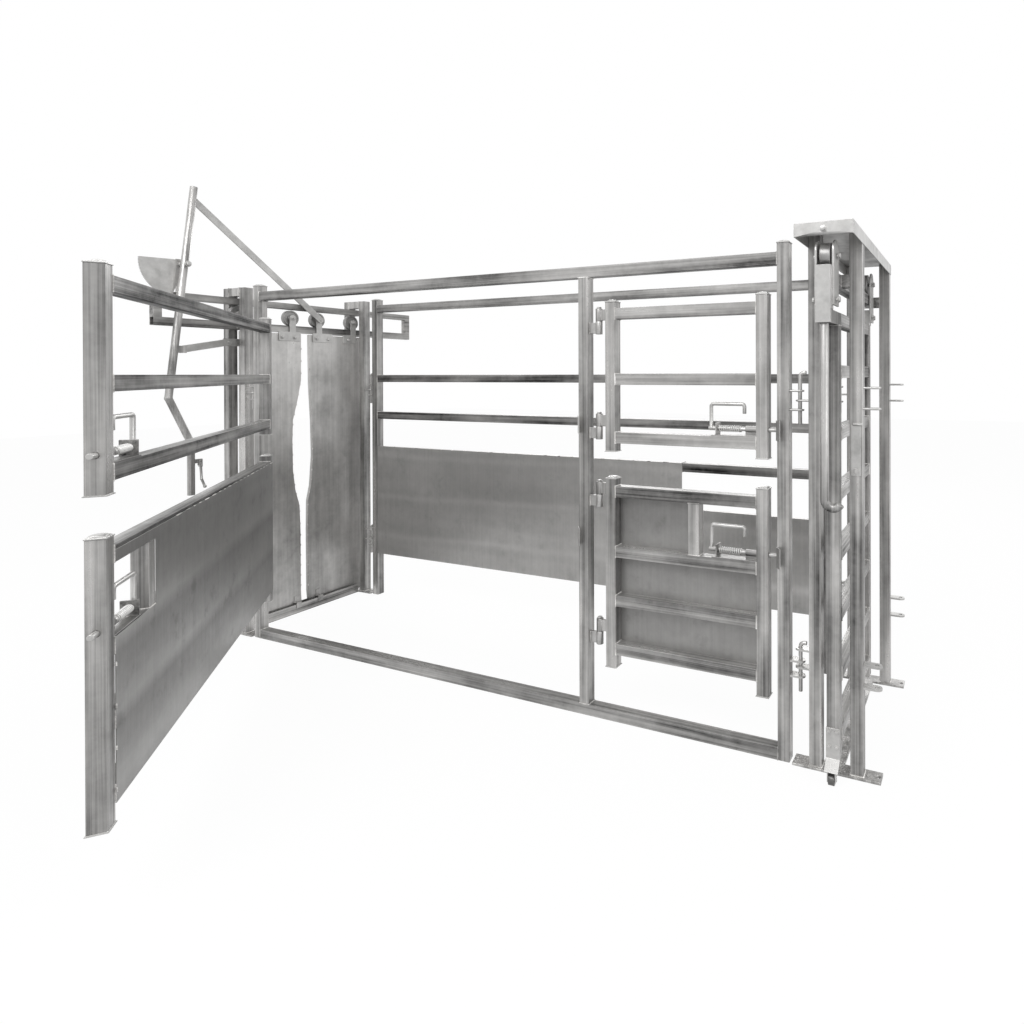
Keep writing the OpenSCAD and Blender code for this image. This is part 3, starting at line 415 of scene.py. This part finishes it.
def metal(name, pattern, color, rough, mottle, dent):
    """A metal material: its own pattern feeds the shared group, which feeds the shader."""
    material = bpy.data.materials.new(name)
    material.use_nodes = True
    tree = material.node_tree
    shader = tree.nodes["Principled BSDF"]
    shader.inputs["Metallic"].default_value = 0.62
    node = add_node(tree, "ShaderNodeGroup", node_tree=SHARED["surface"])
    node.inputs["Base"].default_value = (*color, 1)
    node.inputs["Rough"].default_value = rough
    node.inputs["Mottle"].default_value = mottle
    node.inputs["Dent"].default_value = dent
    if pattern:
        place = add_node(tree, "ShaderNodeTexCoord").outputs["Object"]
        tree.links.new(pattern(tree, place), node.inputs["Tone"])
    tree.links.new(node.outputs["Color"], shader.inputs["Base Color"])
    tree.links.new(node.outputs["Roughness"], shader.inputs["Roughness"])
    tree.links.new(node.outputs["Normal"], shader.inputs["Normal"])
    return material


def gate_reach(gate):
    """Where a gate's rails start and end, from its hinge, just off the faces of its stiles."""
    return HINGE_OFF + TUBE + SKIN, gate.length - TUBE - SKIN


def shade(color, amount):
    """A colour made darker or lighter."""
    return [channel * amount for channel in color]


def window_stile(gate):
    """Where the short upright beside a lower gate's window starts, from the hinge."""
    return gate.length - 2 * TUBE - WINDOW_W


def finishes(settings):
    """Every material by the name of its finish: roughness, mottle and dents come last."""
    SHARED["surface"] = metal_group("Galvanised surface")
    zinc = (settings.zinc, 0.38, 0.24, 0.6)
    sheet = (0.42, 0.12, 1.0)
    # Painted light: the far sheet and the yoke plates take a lighter copy of the sheet colour
    painted_light_sheet = shade(settings.sheet, 1.55)
    slide_pattern = gate_pattern(0, (0, 0), NEAR_Y + SKIN, SLIDE_FAR - SKIN, ALONG_Y)
    made = {
        "upright": metal("Galvanised upright tube", tube_pattern(ALONG_Z), *zinc),
        "level": metal("Galvanised level tube", tube_pattern(ALONG_X, -0.24), *zinc),
        "across": metal("Galvanised cross tube", tube_pattern(ALONG_Y, -0.15), *zinc),
        "slide": metal("Galvanised slide gate", slide_pattern, *zinc),
        "sheet": metal("Galvanised sheet", sheet_pattern(0, (0, 0)), painted_light_sheet, *sheet),
        "yoke": metal("Galvanised yoke plate", yoke_pattern(), painted_light_sheet, 0.38, 0.22, 1.2),
        "bright": metal("Plated hardware", None, settings.bright, 0.34, 0.30, 0.2),
        "coil": metal("Spring wire", None, settings.coil, 0.30, 0.15, 0.2),
        "disc": metal("Roller steel", None, settings.disc, 0.36, 0.45, 0.3),
        "dark": metal("Turned steel", None, settings.dark, 0.40, 0.25, 0.2),
        "weld": metal("Weld metal", None, settings.weld, 0.42, 1.0, 0.2),
    }
    for side, gate in GATES.items():
        stand = (gate.turn, gate.axis)
        sub = window_stile(gate)
        low, high = LOWER_RAILS[1] + TUBE, LOWER_RAILS[0]
        inner = (sub - SKIN, sub + TUBE + SKIN, low + SKIN, high - SKIN)
        rail_tone = -0.36 if side == "long" else -0.08
        pattern = gate_pattern(*stand, *gate_reach(gate), inner=inner, rail_tone=rail_tone)
        # Painted shade: the long gate's tube and sheet are darker copies of the zinc and sheet
        # colours that the short gate keeps
        painted_gate_shade = 0.87 if side == "long" else 1.0
        color = shade(settings.zinc, painted_gate_shade)
        made[f"{side}_gate"] = metal(f"Galvanised {side} gate", pattern, color, *zinc[1:])
        color = shade(settings.sheet, painted_gate_shade)
        pattern = sheet_pattern(*stand, 0.34)
        made[f"{side}_sheet"] = metal(f"Galvanised {side} sheet", pattern, color, *sheet)
    return made


def finish_of(name):
    """Which finish a CAD node takes."""
    for side in GATES:
        if name.startswith(side) and name.endswith("sheet"):
            return f"{side}_sheet"
        if name == f"{side}_lower_gate" or name == f"{side}_upper_gate":
            return f"{side}_gate"
    by_ending = {
        "yoke": "yoke", "sheet": "sheet", "roller": "disc", "wheel": "disc", "spring": "coil",
        "near_rails": "level", "far_rails": "level", "slide_gate": "slide", "track": "across",
        "channel": "across",
    }
    bright = (
        "bolt", "caps", "pins", "straps", "hangers", "bracket", "lugs", "catch", "link",
        "trigger", "pawl", "keepers", "sector", "rear_cap",
    )
    if name == "floor_wheel":
        return "dark"
    for ending, finish in by_ending.items():
        if name.endswith(ending):
            return finish
    return "bright" if name.endswith(bright) else "upright"


# Modelling helpers

def deselect():
    bpy.ops.object.select_all(action="DESELECT")


def select_only(objects):
    """Selects some objects and makes the first one active."""
    deselect()
    for obj in objects:
        obj.select_set(True)
    bpy.context.view_layer.objects.active = objects[0]


def joined(objects, name, material):
    """Joins objects into one piece that lies at the origin."""
    select_only(objects)
    if len(objects) > 1:
        bpy.ops.object.join()
    piece = bpy.context.view_layer.objects.active
    bpy.ops.object.transform_apply(location=True, rotation=True, scale=True)
    bpy.ops.object.shade_smooth_by_angle(angle=math.radians(40))
    piece.name = name.replace(" ", "_")
    piece.data.name = piece.name
    piece.data.materials.clear()
    piece.data.materials.append(material)
    return piece


def merge(objects, name, body, material):
    """Joins objects into one piece that moves with a body."""
    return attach(joined(objects, name, material), body)


def rod(a, b, radius, sides):
    """A round bar from a to b."""
    a, b = Vector(a), Vector(b)
    turn = (b - a).to_track_quat("Z", "Y").to_euler()
    bpy.ops.mesh.primitive_cylinder_add(
        vertices=sides, radius=radius, depth=(b - a).length, location=(a + b) / 2, rotation=turn
    )
    return bpy.context.object


def bead(a, b, radius):
    """A rippled weld bead from a to b: one row of overlapping scales, copied from a master."""
    a, b = Vector(a), Vector(b)
    pitch = radius * 1.3
    lean = math.radians(28)
    count = max(2, round((b - a).length / pitch))
    key = (count, round(radius, 5))
    if key not in BEAD_MASTERS:
        deselect()
        bpy.ops.mesh.primitive_uv_sphere_add(segments=8, ring_count=6, radius=radius)
        master = bpy.context.object
        master.rotation_euler = (lean, 0, 0)
        master.scale = (1.1, 1.0, 0.75)
        bpy.ops.object.transform_apply(location=True, rotation=True, scale=True)
        bpy.ops.object.modifier_add(type="ARRAY")
        row = master.modifiers[-1]
        row.count = count
        row.use_relative_offset = False
        row.use_constant_offset = True
        row.constant_offset_displace = (0, 0, pitch)
        bpy.ops.object.modifier_apply(modifier=row.name)
        BEAD_MASTERS[key] = master
    master = BEAD_MASTERS[key]
    copy = master.copy()
    copy.data = master.data.copy()
    bpy.context.scene.collection.objects.link(copy)
    turn = (b - a).to_track_quat("Z", "Y").to_matrix().to_4x4()
    copy.matrix_world = Matrix.Translation(a) @ turn
    return copy


def round_edges(obj, width):
    """Rounds all sharp edges of a new object."""
    select_only([obj])
    bpy.ops.object.modifier_add(type="BEVEL")
    rounding = obj.modifiers[-1]
    rounding.width = width
    rounding.segments = 2
    bpy.ops.object.modifier_apply(modifier=rounding.name)
    return obj


def hex_head(at, outward, across, height):
    """A hexagon head on a washer; outward points away from the face that it sits on."""
    at, outward = Vector(at), Vector(outward).normalized()
    washer_t = 0.002
    top = at + outward * washer_t
    washer = rod(at, top, across * 0.72, 24)
    head = rod(top, at + outward * (washer_t + height), across / math.sqrt(3), 6)
    return [round_edges(washer, washer_t * 0.3), round_edges(head, height * 0.12)]


def turned(gate, x, y, z):
    """A point given along a gate as if closed, taken to where the gate stands."""
    turn = Matrix.Rotation(math.radians(gate.turn), 3, "Z")
    return turn @ Vector((x, y, z)) + Vector((*gate.axis, 0))


def seam_loop(corners, radius):
    """Weld beads along the closed line through some corners."""
    return [bead(a, b, radius) for a, b in zip(corners, corners[1:] + corners[:1])]


def joint_x(x, y, z, radius):
    """The weld round a tube that butts on a face across X."""
    corners = [(x, y, z), (x, y + TUBE, z), (x, y + TUBE, z + TUBE), (x, y, z + TUBE)]
    return seam_loop([Vector(c) for c in corners], radius)


def joint_y(y, x, z, radius):
    """The weld round a tube that butts on a face across Y."""
    corners = [(x, y, z), (x + TUBE, y, z), (x + TUBE, y, z + TUBE), (x, y, z + TUBE)]
    return seam_loop([Vector(c) for c in corners], radius)


def joint_z(z, x, y, radius):
    """The weld round a tube that stands on a face."""
    corners = [(x, y, z), (x + TUBE, y, z), (x + TUBE, y + TUBE, z), (x, y + TUBE, z)]
    return seam_loop([Vector(c) for c in corners], radius)


def gate_joints(gate, rails, radius):
    """The welds of a gate's rails on both of its stiles."""
    half = TUBE / 2
    beads = []
    for z in rails:
        for x in (HINGE_OFF + TUBE, gate.length - TUBE):
            flat = [(x, -half, z), (x, half, z), (x, half, z + TUBE), (x, -half, z + TUBE)]
            beads += seam_loop([turned(gate, *c) for c in flat], radius)
    return beads


def upright_joint(gate, z, x, radius):
    """The weld round the end of an upright of a gate that starts at x."""
    half = TUBE / 2
    flat = [(x, -half, z), (x + TUBE, -half, z), (x + TUBE, half, z), (x, half, z)]
    return seam_loop([turned(gate, *c) for c in flat], radius)


def sheet_tacks(gate, radius):
    """Short tack welds down the edge of a gate's sheet, and the seam along its top."""
    sheet_t = 0.003
    y = TUBE / 2 + sheet_t
    first = LOWER_RAILS[3] + 0.03
    top = LOWER_RAILS[0] + TUBE - 0.012
    step = 0.125
    tack = 0.014
    edge = gate.length - TUBE
    beads = []
    for i in range(4):
        z = first + i * step
        beads.append(bead(turned(gate, edge, y, z), turned(gate, edge, y, z + tack), radius))
    seam_end = gate.length - 0.5
    gap = 0.05
    x = HINGE_OFF + 0.02
    while x < seam_end:
        run = 0.035 + 0.02 * math.sin(x * 17)
        beads.append(bead(turned(gate, x, y, top), turned(gate, x + run, y, top), radius * 0.8))
        x += run + gap
    return beads


def coil(radius, wire_r, length, turns):
    """A spring that stands on the origin: a ring swept around Z, with closed ends."""
    sides = 8
    steps = 18
    start = (radius, 0, wire_r)
    bpy.ops.mesh.primitive_circle_add(vertices=sides, radius=wire_r, location=start)
    spring = bpy.context.object
    spring.rotation_euler = (math.pi / 2, 0, 0)
    bpy.ops.object.transform_apply(location=True, rotation=True, scale=True)
    bpy.ops.object.modifier_add(type="SCREW")
    sweep = spring.modifiers[-1]
    sweep.screw_offset = (length - 2 * wire_r) / turns
    sweep.iterations = turns
    sweep.steps = steps
    bpy.ops.object.modifier_apply(modifier=sweep.name)
    bpy.ops.object.mode_set(mode="EDIT")
    bpy.ops.mesh.select_all(action="SELECT")
    bpy.ops.mesh.fill_holes(sides=sides)
    bpy.ops.mesh.normals_make_consistent(inside=False)
    bpy.ops.object.mode_set(mode="OBJECT")
    return spring


# Operators, one for each group of pieces

class PieceOperator:
    """What the operators have in common."""
    bl_options = {"REGISTER", "UNDO"}


class CRUSH_OT_finishes(PieceOperator, bpy.types.Operator):
    """Give every CAD node its finish and soft edges"""
    bl_idname = "crush.finishes"
    bl_label = "Finishes"

    def execute(self, context):
        settings = context.scene.crush
        PALETTE.update(finishes(settings))
        kept_as_made = ("spring", "sector", "lugs")
        for name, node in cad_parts.items():
            node.data.materials.clear()
            node.data.materials.append(PALETTE[finish_of(name)])
            if any(word in name for word in kept_as_made):
                continue
            weld = node.modifiers.new("Closed", "WELD")
            weld.merge_threshold = 0.00001
            plain = node.modifiers.new("Plain faces", "DECIMATE")
            plain.decimate_type = "DISSOLVE"
            plain.angle_limit = math.radians(0.5)
            bevel = node.modifiers.new("Soft edges", "BEVEL")
            bevel.width = settings.edge_r
            bevel.segments = 2
            bevel.limit_method = "ANGLE"
            bevel.angle_limit = math.radians(50)
            bevel.use_clamp_overlap = False
            bevel.harden_normals = True
        return {"FINISHED"}


class CRUSH_OT_frame_welds(PieceOperator, bpy.types.Operator):
    """Weld beads of the side panels, the head frame and the rear frame"""
    bl_idname = "crush.frame_welds"
    bl_label = "Frame welds"

    def execute(self, context):
        r = context.scene.crush.bead_r
        first = PANEL_X + TUBE
        uprights = (-0.1, 0.05, REAR_X - 0.1065, REAR_X + 0.0565)
        plate_top = 0.01
        cross_z = 2.05
        beads = []
        for z in (0, RAIL_TOP):
            beads += joint_x(first, NEAR_Y, z, r) + joint_x(END_POST_X, NEAR_Y, z, r)
        beads += joint_z(TUBE, MID_POST_X, NEAR_Y, r) + joint_z(RAIL_TOP, MID_POST_X, NEAR_Y, r)
        for z in FAR_RAILS:
            beads += joint_x(first, FAR_Y, z, r) + joint_x(END_POST_X, FAR_Y, z, r)
        beads += joint_x(LEDGE_X, FAR_Y, LEDGE_Z, r) + joint_x(END_POST_X, FAR_Y, LEDGE_Z, r)
        for y in (NEAR_Y, FAR_Y):
            for x in uprights:
                beads += joint_z(plate_top, x, y, r * 1.3)
            beads += joint_x(-0.05, y, cross_z, r) + joint_x(0.05, y, cross_z, r)
        merge(beads, "Frame welds", "frame", PALETTE["weld"])
        return {"FINISHED"}


class CRUSH_OT_gate_welds(PieceOperator, bpy.types.Operator):
    """Weld beads of the four swinging gates"""
    bl_idname = "crush.gate_welds"
    bl_label = "Gate welds"

    def execute(self, context):
        r = context.scene.crush.bead_r
        for side, gate in GATES.items():
            upper = gate_joints(gate, UPPER_RAILS, r)
            lower = gate_joints(gate, LOWER_RAILS, r) + sheet_tacks(gate, r)
            for z in (LOWER_RAILS[1] + TUBE, LOWER_RAILS[0]):
                lower += upright_joint(gate, z, window_stile(gate), r)
            for level, beads in (("upper", upper), ("lower", lower)):
                label = f"{side} {level} gate welds".capitalize()
                merge(beads, label, f"{side}_{level}_leaf", PALETTE["weld"])
        return {"FINISHED"}


class CRUSH_OT_stile_ends(PieceOperator, bpy.types.Operator):
    """Thin plates that close the lower ends of the gates' stiles"""
    bl_idname = "crush.stile_ends"
    bl_label = "Stile end plates"

    def execute(self, context):
        thick = 0.003
        spare = 0.007
        width = TUBE + spare
        half = TUBE / 2
        r = context.scene.crush.bead_r * 0.7
        for side, gate in GATES.items():
            for level in ("upper", "lower"):
                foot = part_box(f"{side}_{level}_gate")[0][2]
                plates = []
                for x in (HINGE_OFF, gate.length - TUBE):
                    at = turned(gate, x + half, 0, foot - thick / 2)
                    bpy.ops.mesh.primitive_cube_add(size=1, location=at)
                    plate = bpy.context.object
                    plate.scale = (width, width, thick)
                    plate.rotation_euler = (0, 0, math.radians(gate.turn))
                    bpy.ops.object.transform_apply(location=False, rotation=False, scale=True)
                    plates.append(round_edges(plate, thick * 0.3))
                    plates += upright_joint(gate, foot, x, r)
                label = f"{side} {level} stile ends".capitalize()
                merge(plates, label, f"{side}_{level}_leaf", PALETTE["bright"])
        return {"FINISHED"}


class CRUSH_OT_springs(PieceOperator, bpy.types.Operator):
    """Springs of the four latch bolts"""
    bl_idname = "crush.springs"
    bl_label = "Latch springs"

    def execute(self, context):
        settings = context.scene.crush
        for side, gate in GATES.items():
            start, end = (gate.length - back for back in SPRING_BACK)
            for level in ("upper", "lower"):
                node = f"{side}_{level}_spring"
                low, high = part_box(node)
                z = (low[2] + high[2]) / 2
                spring = coil(settings.spring_r, settings.wire_r, end - start, SPRING_TURNS)
                spring.rotation_euler = (0, math.pi / 2, math.radians(gate.turn))
                spring.location = turned(gate, start, 0, z)
                label = f"{side} {level} latch spring".capitalize()
                piece = joined([spring], label, PALETTE["coil"])
                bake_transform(piece)
                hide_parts(node)
        return {"FINISHED"}


class CRUSH_OT_sheet_welds(PieceOperator, bpy.types.Operator):
    """Tack welds along the top of the far side's sheet"""
    bl_idname = "crush.sheet_welds"
    bl_label = "Sheet tack welds"

    def execute(self, context):
        low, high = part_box("far_sheet")
        r = context.scene.crush.bead_r
        beads = []
        gap = 0.085
        seam_end = LEDGE_X - 0.08
        x = low[0] + 0.06
        while x < seam_end:
            run = 0.022 + 0.012 * math.sin(x * 13)
            beads.append(bead((x, low[1], high[2]), (x + run, low[1], high[2]), r))
            x += run + gap
        merge(beads, "Far sheet tack welds", "frame", PALETTE["weld"])
        return {"FINISHED"}


class CRUSH_OT_yoke_welds(PieceOperator, bpy.types.Operator):
    """Tack welds of the folded rims along the neck edges of the yoke plates"""
    bl_idname = "crush.yoke_welds"
    bl_label = "Yoke tack welds"

    def execute(self, context):
        r = context.scene.crush.bead_r * 0.85
        spacing = 0.07
        tack = 0.012
        for body, edge in NECK_EDGES.items():
            beads = []
            for (y0, z0), (y1, z1) in zip(edge, edge[1:]):
                a, b = Vector((YOKE_FACE, y0, z0)), Vector((YOKE_FACE, y1, z1))
                steps = max(1, round((b - a).length / spacing))
                for i in range(steps):
                    start = a.lerp(b, (i + 0.5) / steps)
                    beads.append(bead(start, start + (b - a).normalized() * tack, r))
            label = f"{body} tack welds".replace("_", " ").capitalize()
            merge(beads, label, body, PALETTE["weld"])
        return {"FINISHED"}


class CRUSH_OT_hinge_welds(PieceOperator, bpy.types.Operator):
    """Weld beads that hold the hinge straps to the posts"""
    bl_idname = "crush.hinge_welds"
    bl_label = "Hinge welds"

    def execute(self, context):
        r = context.scene.crush.bead_r
        half_t = 0.008
        bottom = 0.004
        top = 0.054
        beads = []
        for gate in GATES.values():
            ax, ay = gate.axis
            for barrel in BARRELS:
                x = ax - HINGE_OFF
                z0, z1 = barrel + bottom, barrel + top
                for y in (ay - half_t, ay + half_t):
                    beads.append(bead((x, y, z0), (x, y, z1), r * 1.4))
        merge(beads, "Hinge strap welds", "frame", PALETTE["weld"])
        return {"FINISHED"}


class CRUSH_OT_slide_welds(PieceOperator, bpy.types.Operator):
    """Weld beads of the slide gate"""
    bl_idname = "crush.slide_welds"
    bl_label = "Slide gate welds"

    def execute(self, context):
        r = context.scene.crush.bead_r
        x = REAR_X - TUBE / 2
        beads = []
        top, *others = SLIDE_RAILS
        for z in others:
            beads += joint_y(NEAR_Y, x, z, r) + joint_y(SLIDE_FAR, x, z, r)
        beads += joint_z(top, x, NEAR_Y - TUBE, r) + joint_y(SLIDE_FAR, x, top, r)
        merge(beads, "Slide gate welds", "rear_gate", PALETTE["weld"])
        return {"FINISHED"}


class CRUSH_OT_head_fasteners(PieceOperator, bpy.types.Operator):
    """Bolts of the yoke hangers and the roller axles"""
    bl_idname = "crush.head_fasteners"
    bl_label = "Head gate fasteners"

    def execute(self, context):
        face = 0.030
        back = 0.019
        bolt_z = 1.816
        axle_z = 1.943
        bolt = (0.018, 0.008)
        axle_nut = (0.026, 0.005)
        spots = {
            "near_plate": ((-0.157, -0.075, -0.372), (-0.088, -0.413)),
            "far_plate": ((0.076, 0.160, 0.317), (0.096, 0.355)),
        }
        for body, (bolts, axles) in spots.items():
            heads = []
            for y in bolts:
                heads += hex_head((face, y, bolt_z), (1, 0, 0), *bolt)
                heads += hex_head((back, y, bolt_z), (-1, 0, 0), *bolt)
            for y in axles:
                heads += hex_head((face, y, axle_z), (1, 0, 0), *axle_nut)
            label = f"{body} fasteners".replace("_", " ").capitalize()
            merge(heads, label, body, PALETTE["bright"])
        return {"FINISHED"}


class CRUSH_OT_rear_fasteners(PieceOperator, bpy.types.Operator):
    """Bolts of the slide gate and the rear cap"""
    bl_idname = "crush.rear_fasteners"
    bl_label = "Rear fasteners"

    def execute(self, context):
        foot_face = NEAR_Y - TUBE - 0.006
        foot_bolt = (0.013, 0.007)
        hanger_nut = (0.019, 0.006)
        cap_face = NEAR_Y - 0.209
        cap_bolt = (0.017, 0.009)
        pins = (
            (-0.586, 1.842, 0.044), (0.282, 1.842, 0.044),
            (-0.568, 2.005, 0.042), (0.282, 2.005, 0.042),
        )
        heads = []
        for dx in (-0.0145, 0.0145):
            for z in (0.136, 0.195):
                heads += hex_head((REAR_X + dx, foot_face, z), (0, -1, 0), *foot_bolt)
        for side in (-1, 1):
            for y, z, reach in pins:
                heads += hex_head((REAR_X + side * reach, y, z), (side, 0, 0), *hanger_nut)
        merge(heads, "Slide gate fasteners", "rear_gate", PALETTE["bright"])
        cap = hex_head((REAR_X, cap_face, 2.094), (0, -1, 0), *cap_bolt)
        merge(cap, "Rear cap bolt", "frame", PALETTE["bright"])
        return {"FINISHED"}


class CRUSH_OT_lever_fasteners(PieceOperator, bpy.types.Operator):
    """Nuts on the lever's pivot and on the pins of its links"""
    bl_idname = "crush.lever_fasteners"
    bl_label = "Lever fasteners"

    def execute(self, context):
        pins = {"near_link": (-0.7405, 1.715), "far_link": (-0.673, 2.571)}
        pin_end = 0.028
        pin_nut = (0.018, 0.008)
        pivot_at = (0.103, -0.734, 2.194)
        pivot_bolt = (0.024, 0.010)
        for body, (y, z) in pins.items():
            nut = hex_head((pin_end, y, z), (-1, 0, 0), *pin_nut)
            label = f"{body} nut".replace("_", " ").capitalize()
            merge(nut, label, body, PALETTE["bright"])
        pivot = hex_head(pivot_at, (1, 0, 0), *pivot_bolt)
        merge(pivot, "Pivot bolt head", "frame", PALETTE["bright"])
        return {"FINISHED"}


# Stage

CAMERA_AT = (4.1841, -2.9443, 1.5701)
CAMERA_TURN = (-0.179, 0.142, 22.438)
CAMERA_LENS = 22.607
CAMERA_SHIFT = (-0.19498, -0.13294)
STAGE_MIDDLE = (1.8, 0, 1.0)

# Each lamp: where it stands, its size and its power
LAMPS = {
    "Key": ((2.0, -4.5, 5.0), (4.0, 2.0), 110),
    "Side": ((7.5, -2.0, 2.5), (2.5, 3.0), 60),
    "Back": ((0.0, 5.0, 3.5), (5.0, 1.5), 70),
}


def seen_rays(tree):
    """1 for rays that show the background: straight, mirrored or through glass."""
    path = add_node(tree, "ShaderNodeLightPath")
    shown = math_node(tree, "ADD", path.outputs["Is Camera Ray"], path.outputs["Is Glossy Ray"])
    return math_node(tree, "ADD", shown, path.outputs["Is Transmission Ray"])


def floor_material():
    """White to the eye, with the object's soft shadow."""
    material = bpy.data.materials.new("Studio floor")
    material.use_nodes = True
    tree = material.node_tree
    shader = tree.nodes["Principled BSDF"]
    shader.inputs["Base Color"].default_value = (0.8, 0.8, 0.8, 1)
    shader.inputs["Roughness"].default_value = 0.9
    shader.inputs["Specular IOR Level"].default_value = 0.0
    glow = add_node(tree, "ShaderNodeEmission")
    glow.inputs["Color"].default_value = (1, 1, 1, 1)
    glow.inputs["Strength"].default_value = 1.04
    choose = add_node(tree, "ShaderNodeMixShader")
    tree.links.new(math_node(tree, "MULTIPLY", seen_rays(tree), 0.92), choose.inputs[0])
    tree.links.new(shader.outputs["BSDF"], choose.inputs[1])
    tree.links.new(glow.outputs["Emission"], choose.inputs[2])
    tree.links.new(choose.outputs["Shader"], tree.nodes["Material Output"].inputs["Surface"])
    return material


def white_world():
    """White for the camera, and a plain grey sky for everything else."""
    world = bpy.data.worlds.new("White studio")
    world.use_nodes = True
    tree = world.node_tree
    tree.nodes.clear()
    seen = add_node(tree, "ShaderNodeBackground")
    seen.inputs["Color"].default_value = (1, 1, 1, 1)
    seen.inputs["Strength"].default_value = 1.0
    sky = add_node(tree, "ShaderNodeBackground")
    sky.inputs["Color"].default_value = (1, 1, 1, 1)
    sky.inputs["Strength"].default_value = 0.42
    choose = add_node(tree, "ShaderNodeMixShader")
    out = add_node(tree, "ShaderNodeOutputWorld")
    tree.links.new(seen_rays(tree), choose.inputs[0])
    tree.links.new(sky.outputs["Background"], choose.inputs[1])
    tree.links.new(seen.outputs["Background"], choose.inputs[2])
    tree.links.new(choose.outputs["Shader"], out.inputs["Surface"])
    return world


def area_light(name, at, target, size, power):
    """A soft lamp that faces a target."""
    bpy.ops.object.light_add(type="AREA", location=at)
    light = bpy.context.object
    light.name = name
    light.data.shape = "RECTANGLE"
    light.data.size, light.data.size_y = size
    light.data.energy = power
    light.rotation_euler = (Vector(target) - Vector(at)).to_track_quat("-Z", "Y").to_euler()
    return light


class CRUSH_OT_stage(PieceOperator, bpy.types.Operator):
    """Camera, lamps and white surroundings"""
    bl_idname = "crush.stage"
    bl_label = "Stage"

    def execute(self, context):
        scene = context.scene
        scene.world = white_world()
        deselect()
        bpy.ops.mesh.primitive_plane_add(size=40, location=(STAGE_MIDDLE[0], 0, 0))
        floor = context.object
        floor.name = "Floor"
        floor.data.materials.append(floor_material())
        bpy.ops.object.camera_add(location=CAMERA_AT)
        camera = context.object
        pitch, roll, yaw = (math.radians(v) for v in CAMERA_TURN)
        camera.rotation_euler = (math.pi / 2 + pitch, roll, yaw)
        camera.data.lens = CAMERA_LENS
        camera.data.shift_x, camera.data.shift_y = CAMERA_SHIFT
        scene.camera = camera
        for name, (at, size, power) in LAMPS.items():
            area_light(name, at, STAGE_MIDDLE, size, power)
        scene.view_settings.view_transform = "Standard"
        return {"FINISHED"}


class CRUSH_PT_panel(bpy.types.Panel):
    bl_idname = "CRUSH_PT_panel"
    bl_label = "Cattle crush"
    bl_space_type = "VIEW_3D"
    bl_region_type = "UI"
    bl_category = "Crush"

    def draw(self, context):
        settings = context.scene.crush
        for name in CrushSettings.__annotations__:
            self.layout.prop(settings, name)
        for operator in OPERATORS:
            self.layout.operator(operator.bl_idname)


PALETTE = {}
SHARED = {}
BEAD_MASTERS = {}
OPERATORS = (
    CRUSH_OT_finishes,
    CRUSH_OT_frame_welds,
    CRUSH_OT_gate_welds,
    CRUSH_OT_stile_ends,
    CRUSH_OT_springs,
    CRUSH_OT_sheet_welds,
    CRUSH_OT_yoke_welds,
    CRUSH_OT_hinge_welds,
    CRUSH_OT_slide_welds,
    CRUSH_OT_head_fasteners,
    CRUSH_OT_rear_fasteners,
    CRUSH_OT_lever_fasteners,
    CRUSH_OT_stage,
)
CLASSES = (CrushSettings, *OPERATORS, CRUSH_PT_panel)


def register():
    for cls in CLASSES:
        bpy.utils.register_class(cls)
    bpy.types.Scene.crush = PointerProperty(type=CrushSettings)


def unregister():
    del bpy.types.Scene.crush
    for cls in reversed(CLASSES):
        bpy.utils.unregister_class(cls)


def main():
    register()
    for operator in OPERATORS:
        group, call = operator.bl_idname.split(".")
        getattr(getattr(bpy.ops, group), call)()
    for master in BEAD_MASTERS.values():
        bpy.data.objects.remove(master)


if __name__ == "__main__":
    main()
